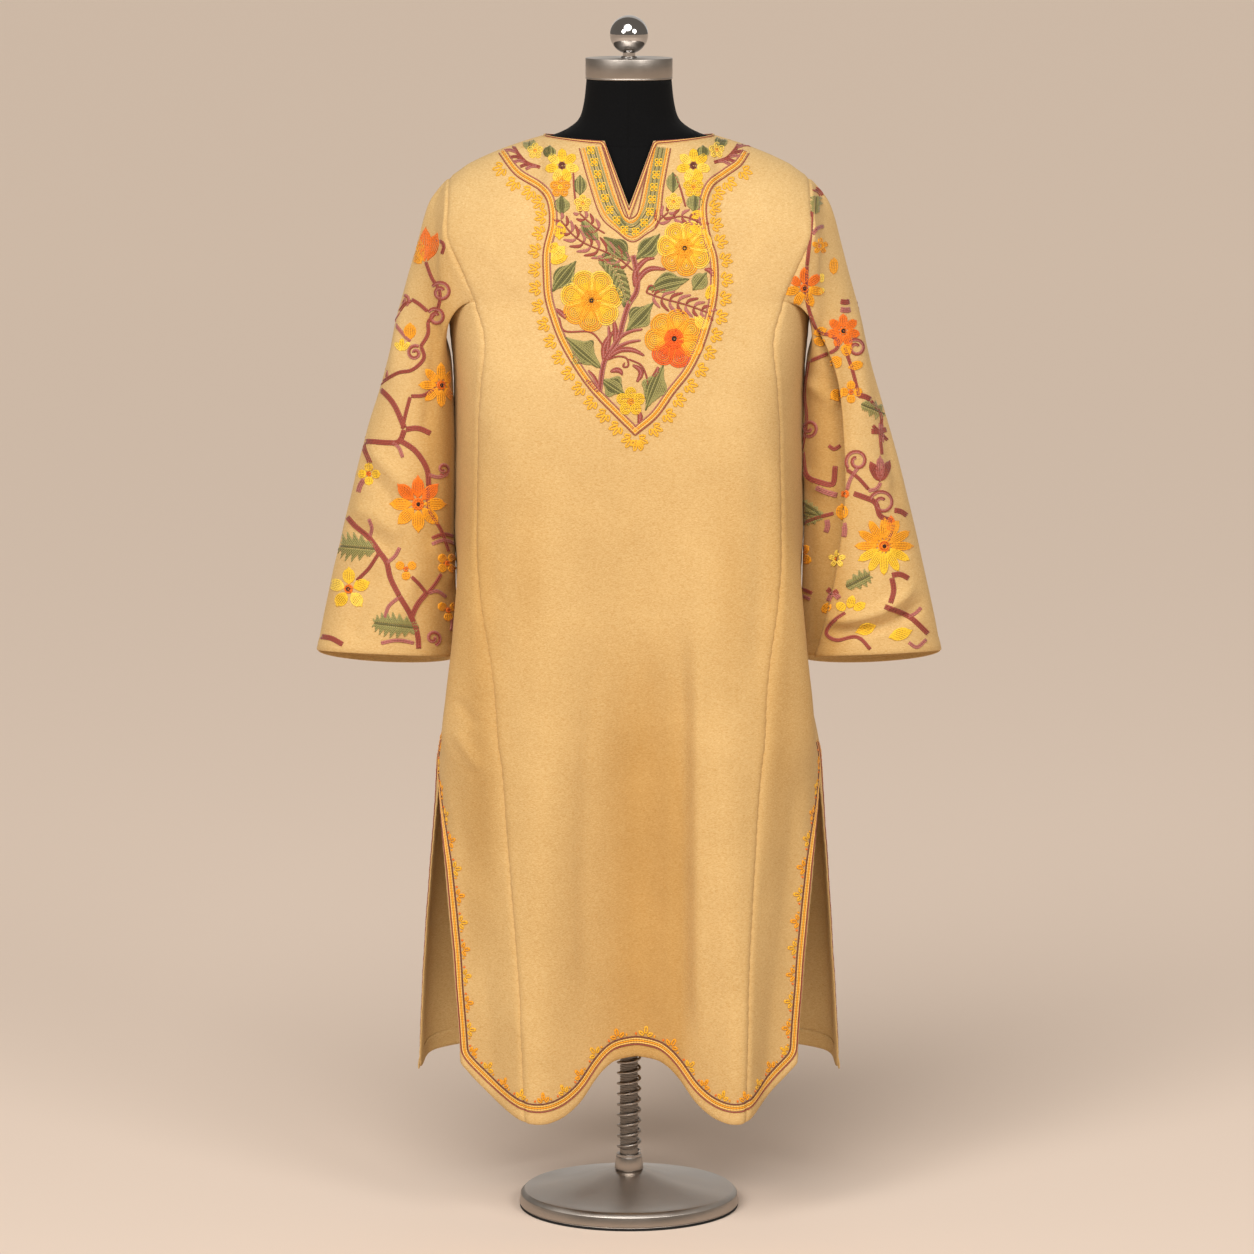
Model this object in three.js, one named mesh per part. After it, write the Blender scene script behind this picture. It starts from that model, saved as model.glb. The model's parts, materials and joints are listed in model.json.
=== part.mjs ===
// A knee-length pheran worn on a limbless dress form that stands on a round steel base.
// Millimetres, +Z up, front towards -Y, origin on the floor under the middle of the base.
// The body is a front and a back panel with four side gores, open in slits at the sides; the sleeves
// widen towards the cuffs. Each cloth piece is a thin wall, built from rows of section points.
import * as THREE from "three";

// Cloth
const CLOTH = 2;
const SEAM_GAP = 0.3;
const BINDING = { step: 0.037, slitStep: 0.1, thick: 1.1 };

// Heights on the garment
const CHEST_Z = 1110;
const UNDERARM_Z = 1082;
const SLIT_TOP_Z = 556;
const LOWEST_Z = 138;

// The hollow in each side where the cuff hangs against it.
const HOLLOW = { z: 690, reachZ: 150, y: -15, reachY: 66, depth: 14 };

// Neck and shoulders
const NECK = { halfWidth: 101, front: 66, back: 60, frontZ: 1296, backZ: 1294, pointZ: 1300 };
const SLIT_NECK = { halfWidth: 28.6, bottomZ: 1222 };
const SHOULDER_HALF = 213;

// Dress form and stand
const FORM = { clear: 5, shoulderClear: 2.9, bottomZ: 560, neckTopZ: 1366, sides: 28 };
const CAP = { radius: 51.5, height: 24.5, edge: 1 };
const BALL = { radius: 22.7, z: 1418.3, stemRadius: 7.5, footRadius: 9.5, footHeight: 2 };
const BASE = { radius: 133, rimRadius: 128, rimZ: 21, coneZ: 44, hubRadius: 17.4, collarZ: 64 };
const POLE = { radius: 11, sides: 24 };
const SPRING = { wire: 1.6, radius: 13.35, pitch: 13, topZ: 262, steps: 10, sides: 5 };
const STOP = { radius: 17, height: 16 };

// Front of the body, a row for each height: the middle, the round fold beside it, the corner where the
// front turns into the side, and the side seam. Under the slit the last pair is the slit's edge.
const FRONT = table(
  ["z", "lean", "midY", "foldX", "foldY", "cornerX", "cornerY", "edgeX", "edgeY"],
  [
    [1120, 0, -115, 90, -117, 184, -90, 215, 0],
    [1086, 0, -118, 90, -121, 182, -91, 214, 0],
    [1020, 0, -122, 88, -125, 175, -95, 210, 16],
    [950, 0, -122, 90, -127, 171, -99, 210, 26],
    [855, 1, -121, 95, -130, 181, -101, 209, 28],
    [775, 2, -119, 100, -134, 195, -99, 209, 30],
    [695, 3, -117, 104, -138, 205, -94, 210, 32],
    [600, 4, -113, 108, -142, 218, -85, 221, 3],
    [556, 5, -111, 109, -144, 222, -78, 229, 0],
    [440, 6, -106, 112, -150, 217, -86, 225, -38],
    [300, 8, -100, 113, -155, 203, -100, 213, -55],
    [200, 9, -96, 113, -158, 188, -108, 203, -66],
    [130, 10, -95, 112, -160, 178, -112, 196, -72],
  ],
);

const BACK = table(
  ["z", "lean", "midY", "foldX", "foldY", "cornerX", "cornerY", "edgeX", "edgeY"],
  [
    [1120, 0, 94, 88, 93, 180, 76, 215, 0],
    [1086, 0, 97, 90, 96, 176, 78, 214, 0],
    [1020, 0, 101, 90, 100, 172, 84, 210, 16],
    [950, 0, 104, 92, 104, 174, 89, 210, 26],
    [855, -1, 108, 95, 110, 182, 93, 209, 28],
    [775, -2, 112, 98, 116, 190, 94, 209, 30],
    [695, -3, 115, 101, 120, 200, 92, 210, 32],
    [600, -4, 118, 104, 124, 210, 86, 221, 3],
    [556, -5, 118, 105, 127, 216, 84, 229, 0],
    [440, -6, 118, 108, 131, 222, 86, 240, 27],
    [300, -7, 116, 110, 135, 230, 90, 250, 42],
    [200, -8, 115, 111, 137, 234, 92, 256, 48],
    [130, -8, 115, 112, 138, 237, 93, 260, 52],
  ],
);

// Where the seam between the middle panel and the side gore runs, as a share of the way round to the side.
const GORE_SEAM = table(
  ["z", "share"],
  [
    [1120, 0.67],
    [1067, 0.62],
    [1000, 0.68],
    [950, 0.71],
    [855, 0.665],
    [757, 0.57],
    [667, 0.5],
    [600, 0.475],
    [478, 0.46],
    [293, 0.435],
    [138, 0.43],
  ],
);

// The hems' heights against the same share: the front one is cut in two rounds with an arch between them.
const FRONT_HEM = table(
  ["share", "z"],
  [
    [0, 207],
    [0.08, 202],
    [0.13, 187],
    [0.19, 159],
    [0.25, 144],
    [0.33, 138],
    [0.45, 141],
    [0.6, 154],
    [0.73, 170],
    [0.87, 184],
    [1, 198],
  ],
);
const BACK_HEM = table(
  ["share", "z"],
  [
    [0, 186],
    [0.33, 182],
    [0.67, 174],
    [1, 158],
  ],
);

// How a column swings out between the chest line and the shoulder.
const SWING = table(
  ["way", "share"],
  [
    [0, 0],
    [0.17, 0.5],
    [0.36, 1.05],
    [0.6, 1.04],
    [1, 1],
  ],
);

const SHOULDER = table(
  ["x", "z"],
  [
    [101, 1300],
    [130, 1291],
    [160, 1280],
    [190, 1266],
    [213, 1249],
  ],
);

// A sleeve's sections from where it hangs free to the cuff: its outer, front, inner and back points.
// The right sleeve folds over itself in front: pleatX is the fold's edge, and pleat how deep it steps.
const SLEEVE = table(
  ["outX", "outZ", "frontX", "frontY", "frontZ", "inX", "inZ", "backX", "backY", "backZ", "pleatX", "pleat"],
  [
    [239, 1216, 222, -68, 1099, 222, 1066, 227, 66, 1098, 219.5, 0],
    [251, 1173, 230, -59, 1076, 219, 1040, 234, 62, 1074, 227, 5],
    [265, 1124, 239, -57, 1043, 215, 1004, 242, 60, 1040, 238, 13],
    [277, 1082, 246, -57, 1003, 213, 962, 248, 61, 1000, 248, 19],
    [291, 1021, 254, -58, 950, 212, 906, 256, 62, 946, 254, 21],
    [312, 950, 263, -60, 886, 212, 850, 265, 64, 880, 256, 23],
    [332, 872, 272, -62, 822, 212, 795, 274, 66, 815, 249, 23],
    [347, 812, 280, -64, 770, 212, 748, 282, 68, 758, 240, 22],
    [360, 757, 288, -66, 726, 210, 712, 289, 69, 708, 230, 19],
    [374, 684, 295, -67, 688, 208, 676, 295, 66, 659, 222, 15],
  ],
);

// The torso's own sections: half width, front and back depth.
const TORSO = table(
  ["z", "half", "front", "back"],
  [
    [1366, 50.8, 50.8, 50.8],
    [1345, 52.5, 52.5, 52.5],
    [1326, 56, 55, 55],
    [1316, 61, 57, 57],
    [1308, 72, 58, 56],
    [1302, 84, 59, 56],
    [1294, 110, 61, 57],
    [1285, 140, 74, 64],
    [1274, 168, 80, 69],
    [1260, 184, 85, 74],
    [1240, 189, 91, 79],
    [1205, 188, 99, 84],
    [1160, 176, 106, 88],
    [1110, 166, 111, 90],
    [1050, 162, 113, 88],
    [990, 148, 104, 84],
    [930, 133, 91, 80],
    [880, 126, 84, 78],
    [820, 138, 86, 85],
    [750, 157, 92, 98],
    [680, 168, 96, 104],
    [610, 168, 95, 100],
    [560, 160, 90, 94],
  ],
);

const SHOULDER_COLUMNS = [0.56, 0.68, 0.8, 0.9, 1];
const NECK_COLUMNS = [0, 0.067, 0.134, 0.17, 0.26, 0.35, 0.42, 0.474];
const UPPER_ROWS = 7;
const BODY_ROWS = 9;
const FLAP_ROWS = 6;
const GORE_COLUMNS = 5;
const SLEEVE_START = { ways: [0.13, 0.45], pull: 34, underPull: 62, arrive: 0.6 };
const NECK_SHARE = NECK.halfWidth / SHOULDER_HALF;
const SLIT_SHARE = SLIT_NECK.halfWidth / SHOULDER_HALF;

const MATERIALS = {
  cloth: material(0xd9b06a, 0.9, 0),
  binding: material(0xe6bf7c, 0.85, 0),
  jersey: material(0x141414, 0.8, 0),
  steel: material(0xa39d95, 0.32, 1),
  chrome: material(0xcfcdca, 0.12, 1),
};

function material(color, roughness, metalness) {
  return new THREE.MeshStandardMaterial({ color, roughness, metalness });
}

// Rows of numbers under named columns.
function table(columns, rows) {
  return rows.map((row) => Object.fromEntries(columns.map((name, i) => [name, row[i]])));
}

function cubic(a, b, c, d, t) {
  return b + 0.5 * t * (c - a + t * (2 * a - 5 * b + 4 * c - d + t * (3 * (b - c) + d - a)));
}

// A smooth value of one column, where the first column named runs steadily up or down.
function lookUp(rows, key, at, value) {
  const rising = rows[rows.length - 1][key] > rows[0][key];
  const reached = (row) => (rising ? row[key] >= at : row[key] <= at);
  const next = Math.max(1, rows.findIndex(reached) < 0 ? rows.length - 1 : rows.findIndex(reached));
  const row = (i) => rows[Math.min(rows.length - 1, Math.max(0, i))][value];
  const share = (at - rows[next - 1][key]) / (rows[next][key] - rows[next - 1][key]);
  const t = Math.min(1, Math.max(0, share));
  const outer = (i, j) => (i < 0 || i >= rows.length ? 2 * row(j) - row(2 * j - i) : row(i));
  return cubic(outer(next - 2, next - 1), row(next - 1), row(next), outer(next + 1, next), t);
}

function mix(a, b, t) {
  return a + (b - a) * t;
}

function smooth(t) {
  const c = Math.min(1, Math.max(0, t));
  return c * c * (3 - 2 * c);
}

function bell(t) {
  return Math.abs(t) < 1 ? (1 - t * t) ** 2 : 0;
}

// A point of one side's section at a height: share 0 is its middle and 1 the side seam or slit edge.
function sectionPoint(side, share, z) {
  const own = side === "front" ? FRONT : BACK;
  const other = side === "front" ? BACK : FRONT;
  const get = (name) => lookUp(own, "z", z, name);
  const open = smooth((SLIT_TOP_Z - z) / 90);
  const lean = get("lean");
  const seam = z > SLIT_TOP_Z ? FRONT : own;
  const edge = [lookUp(seam, "z", z, "edgeX"), lookUp(seam, "z", z, "edgeY")];
  const corner = [get("cornerX"), get("cornerY")];
  const across = [lookUp(other, "z", z, "cornerX"), lookUp(other, "z", z, "cornerY")];
  const past = [0, 1].map((k) => mix(across[k], 2 * edge[k] - corner[k], open));
  const half = [
    [lean, get("midY")],
    [get("foldX") + lean, get("foldY")],
    corner,
    edge,
    past,
  ];
  const mirrored = [[lean - get("foldX"), get("foldY")], ...half.slice(2).map(([x, y]) => [-x, y])];
  const knot = (i) => (i >= 0 ? half[i] : mirrored[-i - 1]);
  const at = share * 3;
  const from = Math.min(2, Math.max(-3, Math.floor(at)));
  const along = (k) => cubic(...[-1, 0, 1, 2].map((i) => knot(from + i)[k]), at - from);
  const hollow = bell((z - HOLLOW.z) / HOLLOW.reachZ) * bell((along(1) - HOLLOW.y) / HOLLOW.reachY);
  return new THREE.Vector3(along(0) - Math.sign(share) * HOLLOW.depth * hollow, along(1), z);
}

// The body below the chest line. Level runs from 0 there to 1 at the slits' tops and 2 at the hem.
function lowerPoint(side, share, level, dip) {
  const hem = side === "front" ? FRONT_HEM : BACK_HEM;
  const z =
    level <= 1
      ? mix(CHEST_Z - dip, SLIT_TOP_Z, level)
      : mix(SLIT_TOP_Z, lookUp(hem, "share", Math.min(1, Math.abs(share)), "z"), level - 1);
  return sectionPoint(side, share, z);
}

function seamShare(level) {
  const z = level <= 1 ? mix(CHEST_Z, SLIT_TOP_Z, level) : mix(SLIT_TOP_Z, LOWEST_Z, level - 1);
  return lookUp(GORE_SEAM, "z", z, "share");
}

function shoulderPoint(side, share) {
  const x = Math.abs(share) * SHOULDER_HALF;
  if (x >= NECK.halfWidth) {
    return new THREE.Vector3(Math.sign(share) * x, 0, lookUp(SHOULDER, "x", x, "z"));
  }
  const round = Math.sqrt(1 - (x / NECK.halfWidth) ** 2);
  const y = side === "front" ? -NECK.front * round : NECK.back * round;
  const middleZ = side === "front" ? NECK.frontZ : NECK.backZ;
  return new THREE.Vector3(share * SHOULDER_HALF, y, mix(NECK.pointZ, middleZ, round));
}

// A middle panel's point: share -1 to 1 across it, level -1 at the neckline and shoulders to 2 at the hem.
function panelPoint(side, share, level) {
  const start = lowerPoint(side, share * seamShare(Math.max(0, level)), Math.max(0, level), 0);
  if (level >= 0) return start;
  const way = -level;
  const end = shoulderPoint(side, share);
  const arc = (Math.PI / 2) * mix(0.62, 1, smooth(Math.abs(share) / NECK_SHARE));
  const angle = way * arc;
  const leaning = (Math.cos(angle) - Math.cos(arc)) / (1 - Math.cos(arc));
  return new THREE.Vector3(
    mix(start.x, end.x, lookUp(SWING, "way", way, "share")),
    mix(end.y, start.y, leaning),
    mix(start.z, end.z, Math.sin(angle) / Math.sin(arc)),
  );
}

// A side gore's point: share 0 at its seam to 1 at the side, on the right (1) or the left (-1).
function gorePoint(side, hand, share, level) {
  const seam = seamShare(level);
  return lowerPoint(side, hand * mix(seam, 1, share), level, (CHEST_Z - UNDERARM_Z) * share);
}

// The lowest level that a column of the front panel reaches in the neck slit.
function topLevel(side, share) {
  if (side === "back" || Math.abs(share) >= SLIT_SHARE) return -1;
  const wanted = mix(SLIT_NECK.bottomZ, NECK.frontZ, Math.abs(share) / SLIT_SHARE);
  return solve((way) => panelPoint(side, share, -way).z - wanted, 0, 1) * -1;
}

function solve(over, low, high) {
  for (let i = 0; i < 40; i++) {
    const middle = (low + high) / 2;
    if (over(middle) > 0) high = middle;
    else low = middle;
  }
  return (low + high) / 2;
}

// The outward normal of a surface given as a function of two numbers.
function normalAt(surface, a, b, low, high, outward) {
  const step = 0.004;
  const a0 = Math.max(low, a - step);
  const a1 = Math.min(high, a + step);
  const across = surface(a1, b).sub(surface(a0, b));
  const along = surface(a, b + step).sub(surface(a, b - step));
  const n = across.cross(along).normalize();
  return n.dot(outward) < 0 ? n.negate() : n;
}

// Moves a grid's rim in, by half a seam's gap on each of the sides named.
function trimmed(grid, sides) {
  const last = grid.length - 1;
  const end = grid[0].length - 1;
  const nudge = (from, to) => from.clone().add(to.clone().sub(from).setLength(SEAM_GAP / 2));
  const result = grid.map((row) => row.map((p) => p.clone()));
  grid.forEach((row, i) =>
    row.forEach((p, j) => {
      if (sides.top && i === 0) result[i][j].add(nudge(p, grid[1][j]).sub(p));
      if (sides.bottom && i === last) result[i][j].add(nudge(p, grid[last - 1][j]).sub(p));
      if (sides.left && j === 0) result[i][j].add(nudge(p, row[1]).sub(p));
      if (sides.right && j === end) result[i][j].add(nudge(p, row[end - 1]).sub(p));
    }),
  );
  return result;
}

// A closed wall between a grid of outer points and the same grid moved along the given vectors.
// A ring grid joins its last column to its first.
function wall(outer, inner, ring = false) {
  const rows = outer.length;
  const columns = outer[0].length;
  const at = (layer, i, j) => (layer * rows + i) * columns + (j % columns);
  const position = [outer, inner].flat(2).flatMap((p) => [p.x, p.y, p.z]);
  const index = [];
  const quad = (a, b, c, d) => index.push(a, b, c, a, c, d);
  const spans = ring ? columns : columns - 1;
  for (let j = 0; j < spans; j++) {
    for (let i = 0; i < rows - 1; i++) {
      quad(at(0, i, j), at(0, i + 1, j), at(0, i + 1, j + 1), at(0, i, j + 1));
      quad(at(1, i, j), at(1, i, j + 1), at(1, i + 1, j + 1), at(1, i + 1, j));
    }
    quad(at(0, 0, j), at(0, 0, j + 1), at(1, 0, j + 1), at(1, 0, j));
    quad(at(0, rows - 1, j), at(1, rows - 1, j), at(1, rows - 1, j + 1), at(0, rows - 1, j + 1));
  }
  for (let i = 0; !ring && i < rows - 1; i++) {
    quad(at(0, i, 0), at(1, i, 0), at(1, i + 1, 0), at(0, i + 1, 0));
    quad(at(0, i, spans), at(0, i + 1, spans), at(1, i + 1, spans), at(1, i, spans));
  }
  const geometry = new THREE.BufferGeometry();
  geometry.setAttribute("position", new THREE.Float32BufferAttribute(position, 3));
  geometry.setIndex(index);
  return facingOut(geometry);
}

// Turns the faces round where the geometry's volume comes out negative.
function facingOut(geometry) {
  const p = geometry.getAttribute("position");
  const index = Array.from(geometry.getIndex().array);
  const corner = (i) => new THREE.Vector3().fromBufferAttribute(p, index[i]);
  let volume = 0;
  for (let i = 0; i < index.length; i += 3) {
    volume += corner(i).dot(corner(i + 1).cross(corner(i + 2)));
  }
  if (volume < 0) {
    for (let i = 0; i < index.length; i += 3) {
      [index[i + 1], index[i + 2]] = [index[i + 2], index[i + 1]];
    }
    geometry.setIndex(index);
  }
  return geometry;
}

function add(group, name, geometry, finish) {
  const mesh = new THREE.Mesh(geometry, finish);
  mesh.name = name;
  group.add(mesh);
  return mesh;
}

function moved(grid, normals, distance) {
  return grid.map((row, i) => row.map((p, j) => p.clone().addScaledVector(normals[i][j], distance)));
}

// The rows of a panel's column: its top, the edge of the binding, and on down to the hem.
function levels(columnTop, step) {
  const start = columnTop + step;
  const upper = Array.from({ length: UPPER_ROWS }, (_, i) => start * (1 - i / UPPER_ROWS));
  const body = Array.from({ length: BODY_ROWS }, (_, i) => i / BODY_ROWS);
  const flap = Array.from({ length: FLAP_ROWS + 1 }, (_, i) => 1 + i / FLAP_ROWS);
  return [columnTop, ...upper, ...body, ...flap];
}

function bindingStep(side, share) {
  return side === "front" && Math.abs(share) <= SLIT_SHARE + 0.001 ? BINDING.slitStep : BINDING.step;
}

const outwardOf = (side) => new THREE.Vector3(0, side === "front" ? -1 : 1, 0.6);

// The panels meet along the shoulders, where both are as thick straight down.
function panelNormal(side, share, level) {
  if (level === -1 && Math.abs(share) >= NECK_SHARE - 0.001) {
    const slope = shoulderPoint(side, 1).z - shoulderPoint(side, 0.9).z;
    return new THREE.Vector3(-Math.sign(share) * slope, 0, 0.1 * SHOULDER_HALF).normalize();
  }
  const surface = (a, b) => panelPoint(side, a, b);
  return normalAt(surface, share, Math.max(level, -0.99), -1, 1, outwardOf(side));
}

// The outer points and normals of the front or the back panel, from its neckline to its hem.
function panelGrid(side) {
  const half = [...NECK_COLUMNS, ...SHOULDER_COLUMNS];
  const shares = [...half.slice(1).reverse().map((s) => -s), ...half];
  const columns = shares.map((share) => levels(topLevel(side, share), bindingStep(side, share)));
  const rows = columns[0].map((_, i) => shares.map((share, j) => [share, columns[j][i]]));
  const outer = rows.map((row) => row.map(([share, level]) => panelPoint(side, share, level)));
  const normals = rows.map((row) => row.map(([share, level]) => panelNormal(side, share, level)));
  return { outer: trimmed(outer, { top: true, left: true, right: true }), normals };
}

function middlePanel(side) {
  const { outer, normals } = panelGrid(side);
  return wall(outer, moved(outer, normals, -CLOTH));
}

// The narrow binding along the neckline and the slit, laid on the panel's first two rows.
function neckBinding(side) {
  const { outer, normals } = panelGrid(side);
  const past = SHOULDER_COLUMNS.length;
  const along = (grid) => grid.slice(0, 2).map((row) => row.slice(past, row.length - past));
  const ends = { left: true, right: true };
  const top = moved(along(outer), along(normals), SEAM_GAP + BINDING.thick);
  const under = moved(along(outer), along(normals), SEAM_GAP);
  return wall(trimmed(top, ends), trimmed(under, ends));
}

function goreNormal(side, hand, share, level) {
  const surface = (a, b) => gorePoint(side, hand, a, b);
  const outward = new THREE.Vector3(hand, side === "front" ? -1 : 1, 0);
  return normalAt(surface, share, Math.max(0.005, Math.min(1.99, level)), 0, 1, outward);
}

function goreGrid(side, hand, of) {
  const rows = levels(-1, BINDING.step).slice(UPPER_ROWS + 1);
  const shares = Array.from({ length: GORE_COLUMNS + 1 }, (_, j) => j / GORE_COLUMNS);
  return rows.map((level) => shares.map((share) => of(side, hand, share, level)));
}

function sideGore(side, hand) {
  const fitted = trimmed(goreGrid(side, hand, gorePoint), { top: true, left: true, right: true });
  return wall(fitted, moved(fitted, goreGrid(side, hand, goreNormal), -CLOTH));
}

// The armhole as the body's panels leave it, from the shoulder down the front, and up the back:
// each point with the cloth's normal there and the way on past the body's edge.
function armhole(hand) {
  const half = (side) => {
    const upper = levels(-1, BINDING.step)
      .slice(0, UPPER_ROWS + 1)
      .map((level) => ({
        point: panelPoint(side, hand, level),
        normal: panelNormal(side, hand, level),
        onward: panelPoint(side, hand, level).sub(panelPoint(side, hand * 0.98, level)).normalize(),
        under: 0,
      }));
    const lower = Array.from({ length: GORE_COLUMNS + 1 }, (_, j) => {
      const share = j / GORE_COLUMNS;
      const rise = 0.45 + 0.55 * share;
      const up = gorePoint(side, hand, share, 0).sub(gorePoint(side, hand, share, 0.01)).normalize();
      const out = gorePoint(side, hand, 0.02, 0).sub(gorePoint(side, hand, 0, 0)).normalize();
      return {
        point: gorePoint(side, hand, share, 0),
        normal: goreNormal(side, hand, share, 0),
        onward: up.multiplyScalar(rise).addScaledVector(out, 1 - rise).normalize(),
        under: 1,
      };
    });
    return [...upper, ...lower];
  };
  const back = half("back").slice(1, -1).reverse();
  return [...half("front"), ...back];
}

// Where round the sleeve the fold's edge and the turn under it lie, counted in the armhole's points.
const ARMHOLE_POINTS = 2 * (UPPER_ROWS + GORE_COLUMNS + 1);
const PLEAT = { crest: (UPPER_ROWS + 1) / ARMHOLE_POINTS, under: (UPPER_ROWS + 2) / ARMHOLE_POINTS };

// A sleeve section's point: turn 0 is its outer side, a quarter the front, a half the inner side.
function sleeveSection(row, hand, turn) {
  const outerPoint = new THREE.Vector3(hand * row.outX, 0, row.outZ);
  const innerPoint = new THREE.Vector3(hand * row.inX, 0, row.inZ);
  const centre = outerPoint.clone().add(innerPoint).multiplyScalar(0.5);
  const half = outerPoint.clone().sub(centre);
  const inFront = turn <= 0.5;
  const reach = inFront
    ? new THREE.Vector3(hand * row.frontX, row.frontY, row.frontZ)
    : new THREE.Vector3(hand * row.backX, row.backY, row.backZ);
  reach.sub(centre);
  const at = (t) => {
    const angle = t * 2 * Math.PI;
    return centre
      .clone()
      .addScaledVector(half, Math.cos(angle))
      .addScaledVector(reach, Math.abs(Math.sin(angle)));
  };
  return inFront && hand > 0 ? pleated(row, at, turn) : at(turn);
}

// The front of the folded sleeve: the upper layer runs to the fold's edge, turns back a little under
// itself, and the lower layer runs on inwards, set back.
function pleated(row, at, turn) {
  const edge = solve((t) => row.pleatX - at(t).x, 0.02, 0.48);
  const { crest, under } = PLEAT;
  const hidden = Math.min(0.05, row.pleat * 0.0021);
  if (turn <= crest) return at((turn / crest) * edge);
  if (turn <= under) {
    const t = (turn - crest) / (under - crest);
    const p = at(mix(edge, edge - hidden, t));
    return p.add(new THREE.Vector3(0, row.pleat * t, 0));
  }
  const t = (turn - under) / (0.5 - under);
  const p = at(mix(edge - hidden, 0.5, t));
  return p.add(new THREE.Vector3(0, row.pleat * (1 - t) ** 0.7, 0));
}

// The sleeve sets out from the armhole along the body's cloth, rises over the side gore under the arm,
// and comes down to its first free section.
function sleeve(hand) {
  const { ways, pull, underPull, arrive } = SLEEVE_START;
  const start = armhole(hand);
  const count = start.length;
  const free = SLEEVE.map((row) => start.map((_, j) => sleeveSection(row, hand, j / count)));
  const first = start.map((e) => e.point.clone().addScaledVector(e.onward, SEAM_GAP / 2));
  const joined = ways.map((t) =>
    start.map((e, j) => {
      const arrival = free[1][j].clone().sub(free[0][j]).multiplyScalar(arrive * t * t * (t - 1));
      return first[j]
        .clone()
        .lerp(free[0][j], smooth(t))
        .addScaledVector(e.onward, mix(pull, underPull, e.under) * t * (1 - t) ** 2)
        .add(arrival);
    }),
  );
  const rings = [first, ...joined, ...free];
  const normals = ringNormals(rings, hand);
  normals[0] = start.map((e) => e.normal);
  return wall(rings, moved(rings, normals, -CLOTH), true);
}

// Outward normals of a tube's rings, from each point's neighbours.
function ringNormals(rings, hand) {
  const count = rings[0].length;
  return rings.map((ring, i) =>
    ring.map((_, j) => {
      const around = ring[(j + 1) % count].clone().sub(ring[(j + count - 1) % count]);
      const next = rings[Math.min(rings.length - 1, i + 1)][j];
      const along = next.clone().sub(rings[Math.max(0, i - 1)][j]);
      return around.cross(along).multiplyScalar(-hand).normalize();
    }),
  );
}

// How far the cloth lies in front of or behind the shoulder line at a place, or 0 above its shoulder.
// Above the neckline it is the neckline's own depth.
function clothDepth(side, x, z) {
  if (panelPoint(side, 1, 0).z >= z) return Infinity;
  const shareAt = (way) => solve((s) => panelPoint(side, s, -way).x - x, 0, 1);
  const way = solve((w) => panelPoint(side, shareAt(w), -w).z - z, 0, 1);
  const found = panelPoint(side, shareAt(way), -way);
  return x < NECK.halfWidth || found.z >= z - 1 ? Math.abs(found.y) : 0;
}

// How far out the shoulder seam still lies above a height.
function underShoulder(z) {
  const top = SHOULDER[0];
  const tip = SHOULDER[SHOULDER.length - 1];
  if (z >= top.z || z <= tip.z) return Infinity;
  return solve((x) => z - lookUp(SHOULDER, "x", x, "z"), top.x, tip.x);
}

// The torso in rings, kept clear of the cloth over the shoulders.
function torso() {
  const rings = TORSO.map((row) => {
    const half = Math.min(row.half, underShoulder(row.z + FORM.shoulderClear));
    return Array.from({ length: FORM.sides }, (_, j) => {
      const angle = (2 * Math.PI * j) / FORM.sides;
      const x = half * Math.cos(angle);
      const side = Math.sin(angle) > 0 ? "front" : "back";
      const own = Math.abs(Math.sin(angle)) ** 0.9 * row[side];
      const covered = row.z > CHEST_Z && row.z < NECK.pointZ;
      const cloth = covered ? clothDepth(side, Math.abs(x), row.z + FORM.clear) : Infinity;
      const depth = Math.min(own, Math.max(0.5, cloth - FORM.clear));
      return new THREE.Vector3(x, side === "front" ? -depth : depth, row.z);
    });
  });
  return capped(rings);
}

// A closed solid through rings, with a flat end on the first and the last.
function capped(rings) {
  const count = rings[0].length;
  const middle = (ring) =>
    ring.reduce((sum, p) => sum.add(p), new THREE.Vector3()).divideScalar(count);
  const points = [...rings.flat(), middle(rings[0]), middle(rings[rings.length - 1])];
  const top = rings.length * count;
  const index = [];
  for (let j = 0; j < count; j++) {
    const next = (j + 1) % count;
    index.push(top, j, next);
    for (let i = 0; i < rings.length - 1; i++) {
      const a = i * count + j;
      const b = i * count + next;
      index.push(a, a + count, b, b, a + count, b + count);
    }
    const foot = (rings.length - 1) * count;
    index.push(top + 1, foot + next, foot + j);
  }
  const geometry = new THREE.BufferGeometry();
  const position = points.flatMap((p) => [p.x, p.y, p.z]);
  geometry.setAttribute("position", new THREE.Float32BufferAttribute(position, 3));
  geometry.setIndex(index);
  return facingOut(geometry);
}

// A turned piece about the upright axis, from radius and height pairs that start and end on the axis.
function turned(profile, segments) {
  const points = profile.map(([r, z]) => new THREE.Vector2(r, z));
  return new THREE.LatheGeometry(points, segments).rotateX(Math.PI / 2);
}

function ball() {
  const { radius, z, stemRadius, footRadius, footHeight } = BALL;
  const foot = FORM.neckTopZ + 2 * SEAM_GAP + CAP.height;
  const join = Math.asin(stemRadius / radius);
  const arcs = 11;
  const round = Array.from({ length: arcs + 1 }, (_, i) => {
    const angle = join + ((Math.PI - join) * i) / arcs;
    return [i === arcs ? 0 : radius * Math.sin(angle), z - radius * Math.cos(angle)];
  });
  const stem = [
    [0, foot],
    [footRadius, foot],
    [footRadius, foot + footHeight],
    [stemRadius, foot + footHeight],
  ];
  return turned([...stem, ...round], 28);
}

function neckCap() {
  const low = FORM.neckTopZ + SEAM_GAP;
  const high = low + CAP.height;
  return turned(
    [
      [0, low],
      [CAP.radius, low],
      [CAP.radius, high - CAP.edge],
      [CAP.radius - CAP.edge, high],
      [0, high],
    ],
    40,
  );
}

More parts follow.
